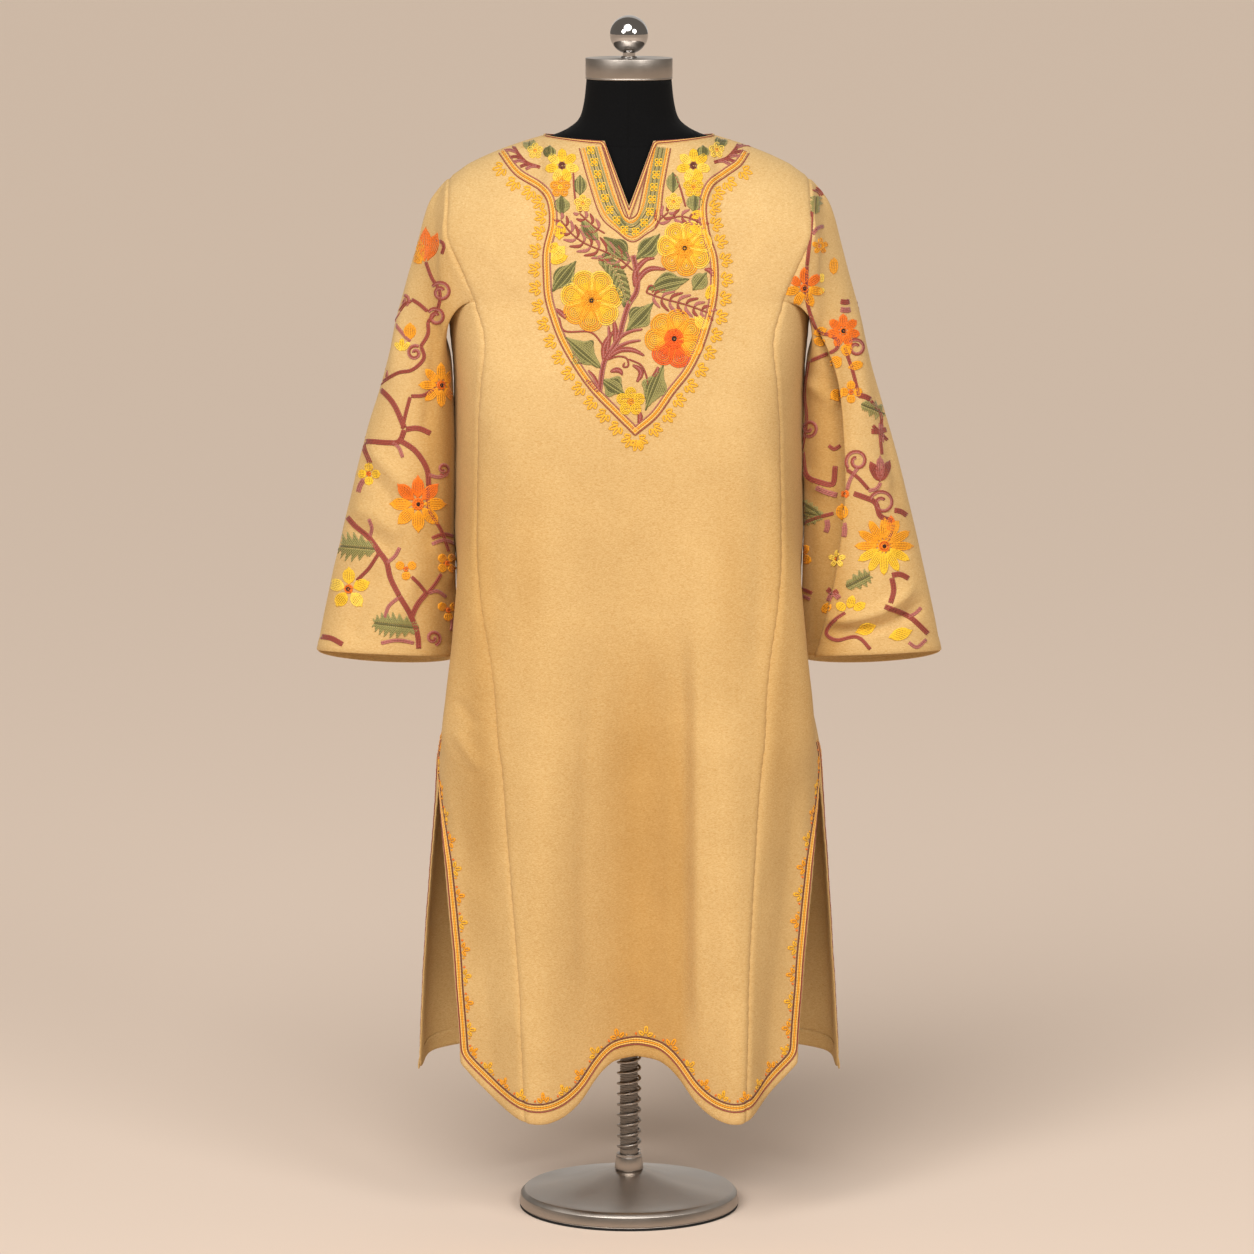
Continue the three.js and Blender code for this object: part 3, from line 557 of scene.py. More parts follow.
def smooth_path(points, step):
    """A smooth line through points, with its own points about a step apart."""
    points = np.asarray(points, float)
    if len(points) < 3:
        count = max(2, int(np.linalg.norm(points[-1] - points[0]) / step) + 1)
        return points[0] + (points[-1] - points[0]) * np.linspace(0, 1, count)[:, None]
    padded = np.concatenate([[2 * points[0] - points[1]], points, [2 * points[-1] - points[-2]]])
    dense = []
    for k in range(len(points) - 1):
        t = np.linspace(0, 1, 16, endpoint=False)[:, None]
        dense.append(cubic(padded[k], padded[k + 1], padded[k + 2], padded[k + 3], t))
    dense = np.concatenate([*dense, points[-1:]])
    run = run_of(dense)
    even = np.linspace(0, run[-1], max(2, int(round(run[-1] / step)) + 1))
    return read_at(even, run, dense)


UNEVEN_SEED = {"front": 1, "back": 2}


def undulation(points, seed):
    """The cloth's slight unevenness, up to about a millimetre."""
    x, y, z = np.moveaxis(points, -1, 0)
    long_wave = np.sin(x / 31 + 2.1 * seed + 0.6 * np.sin(z / 83)) * np.sin(z / 67 + 1.3 * seed + y / 50)
    short_wave = np.sin(x / 13 + z / 29 + seed) * np.sin(z / 19 - y / 23 + 2 * seed)
    return 0.7 * long_wave + 0.25 * short_wave


def seam_dip(distance, along):
    """A seam's shallow channel with the slight puckers beside it."""
    channel = -1.3 * np.exp(-((distance / 2.6) ** 2)) + 0.35 * np.exp(-(((distance - 7) / 4) ** 2))
    puckers = 0.3 * np.sin(along / 2.6) * np.exp(-((distance / 8) ** 2))
    return channel + puckers


# How far the cloth stays flat by the neck and by a sleeve's seam, and over how much it then creases.
FLAT_EDGE = {"neck": 8, "seam": 12, "over": 60}
HEM_WIDTH = 15.0
HEM_THICK = 1.2


def hem_fold(distance):
    """The turned hem's own thickness, with a stitched line where it ends."""
    doubled = 0.8 * smooth((HEM_WIDTH - distance) / 3)
    stitched = -0.7 * np.exp(-(((distance - HEM_WIDTH + 1) / 1.6) ** 2))
    return doubled + stitched


# Rows of faces from the neck to the chest line, to the slits' tops and to the hem; columns of a gore.
CLOTH_ROWS = (56, 118, 78)
GORE_COLUMNS = 34


def lower_levels():
    """The levels of the rows from the chest line to the hem."""
    return np.concatenate([np.linspace(0, 1, CLOTH_ROWS[1], endpoint=False), np.linspace(1, 2, CLOTH_ROWS[2])])


def panel_surface(side, columns):
    """The grid of a middle panel's outer points, and their levels."""
    past = 1 - SLIT_SHARE
    inner = np.linspace(-SLIT_SHARE, SLIT_SHARE, max(5, 2 * int(columns * SLIT_SHARE / 2) + 1))
    outer = SLIT_SHARE + past * np.linspace(0, 1, int(columns * past / 2) + 1)[1:]
    share = np.concatenate([-outer[::-1], inner, outer])
    start = top_level(side, share)
    upper = start[None, :] * (1 - np.linspace(0, 1, CLOTH_ROWS[0], endpoint=False))[:, None]
    level = np.concatenate([upper, np.repeat(lower_levels()[:, None], len(share), 1)])
    return panel(side, share, level), level


def dressed(side, points, level):
    """Cloth of the body with its creases, seams and hem worked in."""
    normals = normals_of(points, facing(side, 0.3))
    run = lengths(points, 0)
    across = lengths(points, 1)
    depth = seam_dip(across, run) + seam_dip(across[:, -1:] - across, run)
    depth += np.where(level > 1, hem_fold(run[-1:] - run), 0)
    below_neck = smooth((run - FLAT_EDGE["neck"]) / FLAT_EDGE["over"])
    depth += below_neck * crease_height(points[..., [0, 2]], side)
    depth += below_neck * undulation(points, UNEVEN_SEED[side])
    return points + normals * depth[..., None], normals


def wall_mesh(name, outer, normals, thickness, ring=False):
    """A closed wall under a grid of outer points, with round rims and a map of its real size."""
    rows, columns = outer.shape[:2]
    inner = outer - normals * thickness
    layers = np.stack([outer, inner]) * MM
    vertices = [layers.reshape(-1, 3)]
    spans = columns if ring else columns - 1
    index = np.arange(2 * rows * columns).reshape(2, rows, columns)
    i, j = np.meshgrid(np.arange(rows - 1), np.arange(spans), indexing="ij")
    beside = (j + 1) % columns
    top = np.stack([index[0][i, j], index[0][i + 1, j], index[0][i + 1, beside], index[0][i, beside]], -1)
    under = np.stack([index[1][i, j], index[1][i, beside], index[1][i + 1, beside], index[1][i + 1, j]], -1)
    down = lengths(outer, 0)
    closed = np.concatenate([outer, outer[:, :1]], 1) if ring else outer
    wide = lengths(closed, 1)
    middle = 0 if ring else wide[:, columns // 2][:, None]
    wide = wide - middle
    if ring:
        down = np.concatenate([down, down[:, :1]], 1)
    corner = np.stack([wide, down], -1) * MM
    uv_top = np.stack([corner[i, j], corner[i + 1, j], corner[i + 1, j + 1], corner[i, j + 1]], -2)
    uv_under = uv_top[..., [0, 3, 2, 1], :]
    faces = [top.reshape(-1, 4), under.reshape(-1, 4)]
    uvs = [uv_top.reshape(-1, 4, 2), uv_under.reshape(-1, 4, 2)]
    around = np.arange(columns)
    rims = [(np.zeros(columns, int), around, -1), (np.full(columns, rows - 1), around, 1)]
    if not ring:
        rims += [(np.arange(rows), np.zeros(rows, int), 1)]
        rims += [(np.arange(rows), np.full(rows, columns - 1), -1)]
    for row, column, turn in rims:
        away = outward_of_rim(outer, row, column)
        bulge = (outer[row, column] + inner[row, column]) / 2 + away * thickness * 0.42
        first = sum(len(v) for v in vertices)
        vertices.append(bulge * MM)
        k = np.arange(len(row) if ring else len(row) - 1)
        after = (k + 1) % len(row)
        outer_edge, inner_edge = index[0][row, column], index[1][row, column]
        strips = [
            np.stack([outer_edge[k], outer_edge[after], first + after, first + k], -1),
            np.stack([first + k, first + after, inner_edge[after], inner_edge[k]], -1),
        ]
        for strip in strips:
            faces.append(strip if turn < 0 else strip[:, ::-1])
            edge_uv = corner[row, column]
            four = np.stack([edge_uv[k], edge_uv[after], edge_uv[after], edge_uv[k]], -2)
            uvs.append(four if turn < 0 else four[:, ::-1])
    return mesh_object(name, np.concatenate(vertices), np.concatenate(faces), np.concatenate(uvs))


def outward_of_rim(points, row, column):
    """The way out past a grid's rim, within the cloth."""
    rows, columns = points.shape[:2]
    if row[0] == row[-1]:
        other = 1 if row[0] == 0 else rows - 2
        return unit(points[row, column] - points[np.full(len(row), other), column])
    other = 1 if column[0] == 0 else columns - 2
    return unit(points[row, column] - points[row, np.full(len(row), other)])


def mesh_object(name, vertices, faces, uvs):
    """A smooth-shaded object at the origin from arrays of corners, faces and the faces' map places."""
    mesh = bpy.data.meshes.new(name)
    sides = faces.shape[1]
    mesh.vertices.add(len(vertices))
    mesh.vertices.foreach_set("co", np.ascontiguousarray(vertices, np.float32).ravel())
    mesh.loops.add(faces.size)
    mesh.loops.foreach_set("vertex_index", np.ascontiguousarray(faces, np.int32).ravel())
    mesh.polygons.add(len(faces))
    mesh.polygons.foreach_set("loop_start", np.arange(0, faces.size, sides, dtype=np.int32))
    mesh.update(calc_edges=True)
    layer = mesh.uv_layers.new(name="cloth_map")
    layer.data.foreach_set("uv", np.ascontiguousarray(uvs, np.float32).ravel())
    mesh.validate()
    piece = bpy.data.objects.new(name, mesh)
    bpy.context.scene.collection.objects.link(piece)
    if volume_of(piece) < 0:
        mesh.flip_normals()
    mesh.polygons.foreach_set("use_smooth", np.ones(len(mesh.polygons), bool))
    return piece


def volume_of(piece):
    shape = bmesh.new()
    shape.from_mesh(piece.data)
    volume = shape.calc_volume(signed=True)
    shape.free()
    return volume


def finish_piece(piece, material, slot, *nodes):
    """Gives a piece its material, its slot and its place in the frame."""
    piece.data.materials.clear()
    piece.data.materials.append(material)
    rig.ride(piece, "root")
    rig.slot(piece, slot)
    if nodes:
        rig.replaces(piece, *nodes)
    return piece


# Sleeves


def armhole(hand):
    """The body's edge round an armhole: its points, the way on, and whether it is under the arm."""
    gathered = [], [], []
    for side in SIDES:
        level = -1 + np.arange(ARMHOLE_UPPER + 1) / ARMHOLE_UPPER
        level[1:] = (BINDING["step"] - 1) * (1 - np.arange(ARMHOLE_UPPER) / ARMHOLE_UPPER)
        edge = panel(side, hand * 1.0, level)
        onward_upper = unit(edge - panel(side, hand * 0.98, level))
        share = np.arange(ARMHOLE_UNDER + 1) / ARMHOLE_UNDER
        low = gore(side, hand, share, np.zeros(share.shape))
        up = unit(low - gore(side, hand, share, np.full(share.shape, 0.01)))
        out = unit(gore(side, hand, 0.02, np.zeros(1)) - gore(side, hand, 0.0, np.zeros(1)))
        rise = (0.45 + 0.55 * share)[:, None]
        onward_low = unit(up * rise + out * (1 - rise))
        flag = np.concatenate([np.zeros(len(edge)), np.ones(len(low))])
        keep = slice(None) if side == "front" else slice(-2, 0, -1)
        ring, way = np.concatenate([edge, low]), np.concatenate([onward_upper, onward_low])
        for rows, found in zip(gathered, (ring, way, flag)):
            rows.append(found[keep])
    return [np.concatenate(rows) for rows in gathered]


def sleeve_section(row, hand, turn):
    """One section of a sleeve: turn 0 is its outer side, a quarter the front, a half the inner side."""
    outer = np.array([hand * row["out_x"], 0, row["out_z"]])
    inner = np.array([hand * row["in_x"], 0, row["in_z"]])
    centre, half = (outer + inner) / 2, (outer - inner) / 2
    reach = {
        side: np.array([hand * row[f"{side}_x"], row[f"{side}_y"], row[f"{side}_z"]]) - centre
        for side in SIDES
    }

    def at(t):
        angle = np.asarray(t, float)[..., None] * 2 * math.pi
        side = np.where(np.asarray(t)[..., None] <= 0.5, reach["front"], reach["back"])
        return centre + half * np.cos(angle) + side * np.abs(np.sin(angle))

    if hand < 0:
        return at(turn)
    edge = float(solve(lambda t: row["pleat_x"] - at(t)[..., 0], np.array(0.02), 0.48))
    crest, tucked = (ARMHOLE_UPPER + 1) / ARMHOLE_POINTS, (ARMHOLE_UPPER + 2) / ARMHOLE_POINTS
    hidden = min(0.05, row["pleat"] * 0.0021)
    upper = at(turn / crest * edge)
    t = np.clip((turn - crest) / (tucked - crest), 0, 1)
    turned_in = at(mix(edge, edge - hidden, t)) + np.array([0, 1, 0]) * (row["pleat"] * t)[:, None]
    t = np.clip((turn - tucked) / (0.5 - tucked), 0, 1)
    lower = at(mix(edge - hidden, 0.5, t)) + np.array([0, 1, 0]) * (row["pleat"] * (1 - t) ** 0.7)[:, None]
    front = np.where((turn <= crest)[:, None], upper, np.where((turn <= tucked)[:, None], turned_in, lower))
    return np.where((turn <= 0.5)[:, None], front, at(turn))


def sleeve_rings(hand):
    """The sleeve's rings from the armhole to the cuff, as the frame's solid has them."""
    points, onward, under = armhole(hand)
    turn = np.arange(len(points)) / len(points)
    free = [sleeve_section(SLEEVE.row(k), hand, turn) for k in range(len(SLEEVE.columns["pleat"]))]
    first = points + onward * SEAM_GAP / 2
    pull = mix(SLEEVE_START["pull"], SLEEVE_START["under_pull"], under)[:, None]
    joined = []
    for t in SLEEVE_START["ways"]:
        arrival = (free[1] - free[0]) * SLEEVE_START["arrive"] * t * t * (t - 1)
        joined.append(mix(first, free[0], smooth(t)) + onward * pull * t * (1 - t) ** 2 + arrival)
    return np.stack([first, *joined, *free])


def finer(rings, rows, columns):
    """A ring grid with smooth points between its own, so many for each of its spans."""
    padded = np.concatenate([rings[:, -1:], rings, rings[:, :2]], 1)
    t = np.arange(columns)[:, None] / columns
    around = [
        cubic(*(padded[:, k + n][:, None] for n in range(4)), t) for k in range(rings.shape[1])
    ]
    wide = np.concatenate(around, 1)
    ends = np.concatenate([2 * wide[:1] - wide[1:2], wide, 2 * wide[-1:] - wide[-2:-1]])
    t = np.arange(rows)[:, None, None] / rows
    down = [cubic(*(ends[k + n][None] for n in range(4)), t) for k in range(len(wide) - 1)]
    return np.concatenate([*down, wide[-1:]])


def sleeve_surface(hand):
    """A sleeve's fine outer points and normals with its creases and cuff hem."""
    name = "left" if hand < 0 else "right"
    points = finer(sleeve_rings(hand), 9, 5)
    outward = points - points.mean(1, keepdims=True)
    normals = normals_of(points, outward, ring=True)
    run = lengths(points, 0)
    in_front = smooth((-normals[..., 1] - 0.1) / 0.4)
    behind = smooth((normals[..., 1] - 0.1) / 0.4)
    past_seam = smooth((run - FLAT_EDGE["seam"]) / FLAT_EDGE["over"])
    creases = crease_height(points[..., [0, 2]], name)
    depth = past_seam * creases * (in_front + 0.6 * behind)
    depth += past_seam * 1.3 * undulation(points, 3 + hand)
    depth += seam_dip(run, lengths(np.concatenate([points, points[:, :1]], 1), 1)[:, :-1])
    depth += hem_fold(run[-1:] - run)
    return points + normals * depth[..., None], normals


# Materials, kept here by slot where several pieces share one
MADE = {}


def srgb(red, green, blue):
    """A linear colour from red, green and blue counted to 255."""
    def linear(v):
        v /= 255
        return v / 12.92 if v <= 0.04045 else ((v + 0.055) / 1.055) ** 2.4

    return tuple(linear(v) for v in (red, green, blue))


class Nodes:
    """A new material's node tree, filled a node at a time."""

    def __init__(self, name):
        self.material = bpy.data.materials.new(name)
        self.material.use_nodes = True
        self.tree = self.material.node_tree
        self.shader = self.tree.nodes["Principled BSDF"]
        self.place = self.add("ShaderNodeTexCoord").outputs["Object"]

    def add(self, kind, **values):
        node = self.tree.nodes.new(kind)
        for name, value in values.items():
            if hasattr(node, name):
                setattr(node, name, value)
            else:
                node.inputs[name.replace("_", " ").title()].default_value = value
        return node

    def link(self, start, end):
        self.tree.links.new(start, end)

    def noise(self, scale, detail, vector=None, **values):
        """Soft noise over the piece itself, or over another vector."""
        node = self.add("ShaderNodeTexNoise", Scale=scale, Detail=detail, **values)
        self.link(vector or self.place, node.inputs["Vector"])
        return node.outputs["Fac"]

    def wave(self, direction, scale, distortion=0.0):
        """Bands over the cloth's own map."""
        node = self.add("ShaderNodeTexWave", wave_type="BANDS", Scale=scale, Distortion=distortion)
        node.bands_direction = direction
        self.link(self.add("ShaderNodeUVMap", uv_map="cloth_map").outputs["UV"], node.inputs["Vector"])
        return node.outputs["Fac"]

    def ramp(self, factor, *stops):
        node = self.tree.nodes.new("ShaderNodeValToRGB")
        marks = node.color_ramp.elements
        for mark, (place, colour) in zip(marks, stops):
            mark.position = place
            mark.color = (*colour, 1)
        self.link(factor, node.inputs["Fac"])
        return node.outputs["Color"]

    def bump(self, height, strength, distance, under=None):
        node = self.add("ShaderNodeBump", Strength=strength, Distance=distance)
        self.link(height, node.inputs["Height"])
        if under:
            self.link(under, node.inputs["Normal"])
        return node.outputs["Normal"]

    def maths(self, operation, first, second=None):
        node = self.tree.nodes.new("ShaderNodeMath")
        node.operation = operation
        for socket, value in zip(node.inputs, (first, second)):
            if value is None:
                continue
            if isinstance(value, (int, float)):
                socket.default_value = value
            else:
                self.link(value, socket)
        return node.outputs[0]

    def times(self, first, *others):
        for other in others:
            first = self.maths("MULTIPLY", first, other)
        return first

    def share(self, value):
        """A value kept between 0 and 1."""
        return self.maths("MAXIMUM", 0.0, self.maths("MINIMUM", 1.0, value))

    def band(self, away, half_width):
        """1 on a line, and fading out past its half width."""
        share = self.maths("DIVIDE", away, half_width)
        return self.maths("EXPONENT", self.times(share, share, -1.0))

    def axes(self):
        """The x, y and z of a place."""
        parts = self.add("ShaderNodeSeparateXYZ")
        self.link(self.place, parts.inputs["Vector"])
        return [parts.outputs[k] for k in ("X", "Y", "Z")]

    def from_axis(self):
        """How far a place is from the upright axis."""
        x, y, _ = self.axes()
        return self.maths("SQRT", self.maths("ADD", self.times(x, x), self.times(y, y)))

    def multiplied(self, first, second):
        """Two colours multiplied."""
        node = self.add("ShaderNodeMix", data_type="RGBA", blend_type="MULTIPLY")
        node.inputs["Factor"].default_value = 1.0
        for socket, value in zip((s for s in node.inputs if s.enabled and s.type == "RGBA"), (first, second)):
            self.link(value, socket)
        return next(s for s in node.outputs if s.enabled)

    def shade(self, **values):
        for name, value in values.items():
            self.shader.inputs[name.replace("_", " ")].default_value = value

    def finished(self, colour, normal=None):
        """The material, with its colour and its bumps joined on."""
        self.link(colour, self.shader.inputs["Base Color"])
        if normal:
            self.link(normal, self.shader.inputs["Normal"])
        return self.material


WHITE = (1, 1, 1)

# Painted shade on the wool: its colour is painted darker and fuller deep in the folds, where the sleeves meet
# the body and below the chest. Each row: a middle and half width across, the heights between which it runs,
# which side it is on (1 is the back) and how much.
PAINTED_SHADE_BANDS = Table(
    ["x", "half_width", "top_z", "low_z", "side", "amount"],
    [
        [0.0, 0.9, 1.04, -0.2, -1, 0.3],
        [0.0, 0.9, 1.04, -0.2, 1, 0.3],
        [0.016, 0.046, 0.74, 0.05, -1, 0.75],
        [0.056, 0.014, 0.68, 0.05, -1, 0.45],
        [-0.176, 0.026, 0.98, 0.30, -1, 0.55],
        [0.178, 0.022, 0.98, 0.40, -1, 0.4],
        [-0.120, 0.022, 0.95, 0.62, -1, 0.35],
        [0.122, 0.022, 0.95, 0.62, -1, 0.35],
        [-0.226, 0.024, 1.24, 0.60, -1, 1.0],
        [0.234, 0.024, 1.16, 0.56, -1, 1.0],
        [0.0, 0.048, 0.95, 0.05, 1, 0.8],
        [-0.170, 0.026, 0.95, 0.10, 1, 0.55],
        [0.172, 0.026, 0.95, 0.10, 1, 0.55],
    ],
)
# How fast each band of painted shade comes in at its ends and towards its side, for each metre.
PAINTED_SHADE_EDGE = {"ends": 6.0, "sides": 40.0}


def painted_fold_shade(n):
    """How much painted shade a place takes, from 0 to 1, most of it deep in the folds."""
    x, y, z = n.axes()
    total = 0.0
    for k in range(len(PAINTED_SHADE_BANDS.columns["x"])):
        row = PAINTED_SHADE_BANDS.row(k)
        across = n.band(n.maths("SUBTRACT", x, row["x"]), row["half_width"])
        started = n.times(n.maths("SUBTRACT", row["top_z"], z), PAINTED_SHADE_EDGE["ends"])
        ended = n.times(n.maths("SUBTRACT", z, row["low_z"]), PAINTED_SHADE_EDGE["ends"])
        along = n.share(n.maths("MINIMUM", started, ended))
        shown = n.share(n.times(y, PAINTED_SHADE_EDGE["sides"] * row["side"]))
        total = n.maths("ADD", total, n.times(across, along, shown, row["amount"]))
    return total


THREADS_IN_A_WAVE = 3.18


def wool_material(settings):
    """Golden-tan woollen weave with a short wavy nap, and painted shade deep in its folds."""
    n = Nodes("wool_cloth")
    combed = n.add("ShaderNodeMapping", Scale=(0.6, 0.6, 1.8))
    n.link(n.place, combed.inputs["Vector"])
    nap = n.noise(620.0, 4.0, combed.outputs["Vector"], Distortion=1.0)
    fibre = n.noise(1100.0, 2.0, combed.outputs["Vector"])
    napped = n.ramp(nap, (0.28, settings.shade), (0.66, settings.colour))
    broad = n.ramp(n.noise(9.0, 3.0), (0.3, (0.9, 0.88, 0.85)), (0.7, WHITE))
    # Painted shade: the colour is painted darker and fuller in the folds, where the sleeves meet the body and below
    # the chest.
    deep = n.ramp(painted_fold_shade(n), (0.0, WHITE), (1.0, (0.78, 0.68, 0.52)))
    weave = [n.wave(direction, settings.threads_per_metre / THREADS_IN_A_WAVE, 0.6) for direction in ("X", "Y")]
    woven = n.bump(n.maths("MAXIMUM", *weave), 0.22, 0.0003)
    furry = n.bump(nap, settings.nap, 0.0007, woven)
    n.shade(Roughness=0.95, Sheen_Weight=0.12, Sheen_Roughness=0.5, Sheen_Tint=(1, 0.86, 0.6, 1))
    n.shade(Specular_IOR_Level=0.15)
    return n.finished(n.multiplied(n.multiplied(napped, broad), deep), n.bump(fibre, 0.25, 0.0002, furry))


# The jersey's seams in metres: how high the neck's is, how it slopes down to the front, and their half width.
NECK_SEAM = {"z": 1.311, "slope": 0.36, "half_width": 0.0014}


def jersey_material(colour, groove):
    """Matt black knitted jersey with a seam down the front and one round the neck."""
    n = Nodes("form_jersey")
    knit = n.add("ShaderNodeTexVoronoi", Scale=900.0)
    n.link(n.place, knit.inputs["Vector"])
    fluff = n.noise(700.0, 3.0)
    x, y, z = n.axes()
    neck = n.maths("ADD", n.times(n.maths("MINIMUM", y, 0.0), NECK_SEAM["slope"]), NECK_SEAM["z"])
    front_seam = n.times(n.band(x, NECK_SEAM["half_width"]), n.maths("LESS_THAN", y, 0.0))
    neck_seam = n.band(n.maths("SUBTRACT", z, neck), NECK_SEAM["half_width"])
    sewn = n.times(n.maths("MAXIMUM", front_seam, neck_seam), -1.0)
    seamed = n.bump(sewn, 1.0, groove, n.bump(knit.outputs["Distance"], 0.35, 0.0003))
    n.shade(Roughness=0.9, Sheen_Weight=0.02, Sheen_Roughness=0.5, Specular_IOR_Level=0.12)
    light = [min(1, v * 1.9) for v in colour]
    return n.finished(n.ramp(fluff, (0.3, colour), (0.75, light)), n.bump(fluff, 0.2, 0.0002, seamed))


BRUSHED = {"lines_per_metre": 1700.0, "depth": 0.0002, "stretch": 0.8}


def steel_material(name, colour, roughness, brushed):
    """Steel, brushed in rings about the upright axis where brushed is above nought."""
    n = Nodes(name)
    smudge = n.noise(28.0, 3.0)
    base = n.ramp(smudge, (0.35, [v * 0.9 for v in colour]), (0.65, colour))
    rough = n.ramp(smudge, (0.3, (roughness,) * 3), (0.8, (roughness * 1.35,) * 3))
    n.link(rough, n.shader.inputs["Roughness"])
    n.shade(Metallic=1.0)
    if not brushed:
        return n.finished(base)
    spun = n.add("ShaderNodeCombineXYZ")
    for axis, length in (("X", n.from_axis()), ("Y", n.axes()[2])):
        n.link(n.times(length, BRUSHED["lines_per_metre"]), spun.inputs[axis])
    about = n.add("ShaderNodeTangent", direction_type="RADIAL", axis="Z")
    n.link(about.outputs["Tangent"], n.shader.inputs["Tangent"])
    n.shade(Anisotropic=BRUSHED["stretch"])
    rings = n.noise(1.0, 2.0, spun.outputs["Vector"])
    return n.finished(base, n.bump(rings, brushed, BRUSHED["depth"]))


def rubber_material():
    """The black rubber ring under the base."""
    n = Nodes("foot_rubber")
    grain = n.noise(900.0, 2.0)
    n.shade(Roughness=0.7, Specular_IOR_Level=0.3)
    return n.finished(n.ramp(grain, (0.3, (0.004,) * 3), (0.7, (0.009,) * 3)), n.bump(grain, 0.2, 0.0002))


def floor_material(settings):
    """Pale matt studio floor that takes on the backdrop's colour far away."""
    n = Nodes("studio_floor")
    far = n.maths("DIVIDE", n.from_axis(), settings.far)
    n.shade(Roughness=0.95, Specular_IOR_Level=0.1)
    base = n.ramp(far, (0.0, settings.floor), (1.0, settings.backdrop))
    return n.finished(base, n.bump(n.noise(180.0, 2.0), 0.05, 0.0002))


def thread_material():
    """Twisted yarn in the colour that each stitch carries, with the stitches' painted shade."""
    n = Nodes("embroidery")
    colour = n.add("ShaderNodeAttribute", attribute_name="thread_colour_and_painted_shade").outputs["Color"]
    fibre = n.noise(1500.0, 2.0)
    tone = n.ramp(fibre, (0.3, (0.82, 0.8, 0.78)), (0.65, WHITE))
    twisted = n.bump(n.wave("DIAGONAL", 420.0), 0.3, 0.0002)
    n.shade(Roughness=0.62, Sheen_Weight=0.2, Sheen_Roughness=0.4, Specular_IOR_Level=0.35)
    return n.finished(n.multiplied(colour, tone), n.bump(fibre, 0.3, 0.0002, twisted))


# Embroidery

# A chain stitch in millimetres: its link's length, width and height, how far apart rows are, how deep they
# sink in and the step in the cloth that breaks a row. Then the half widths of an open link and of a join, an
# open link's height, the painted shade on each join and on the thread's lower sides, and how far tones differ.
THREAD = {"link": 3.35, "width": 2.5, "height": 1.2, "pitch": 2.15, "sink": 0.25, "break": 7}
LINK = {"open": 0.5, "join": 0.38, "open_height": 0.86, "join_painted_shade": 0.8, "side_painted_shade": 0.72, "tones": 0.09}
THREAD_COLOURS = {
    "yellow": srgb(250, 200, 44),
    "pale_yellow": srgb(254, 214, 82),
    "gold": srgb(246, 184, 44),
    "amber": srgb(248, 166, 26),
    "orange": srgb(248, 122, 18),
    "vermilion": srgb(244, 98, 14),
    "brick": srgb(158, 72, 56),
    "mauve": srgb(182, 108, 98),
    "olive": srgb(158, 150, 88),
    "dark_olive": srgb(108, 104, 54),
    "band": srgb(248, 196, 104),
    "dark": srgb(118, 56, 44),
    "black": srgb(20, 17, 15),
}


# Where the yarn's little differences of tone start from.
SEEDS = {"border": 11, "neck": 12, "sleeve": 20, "yoke": 5}


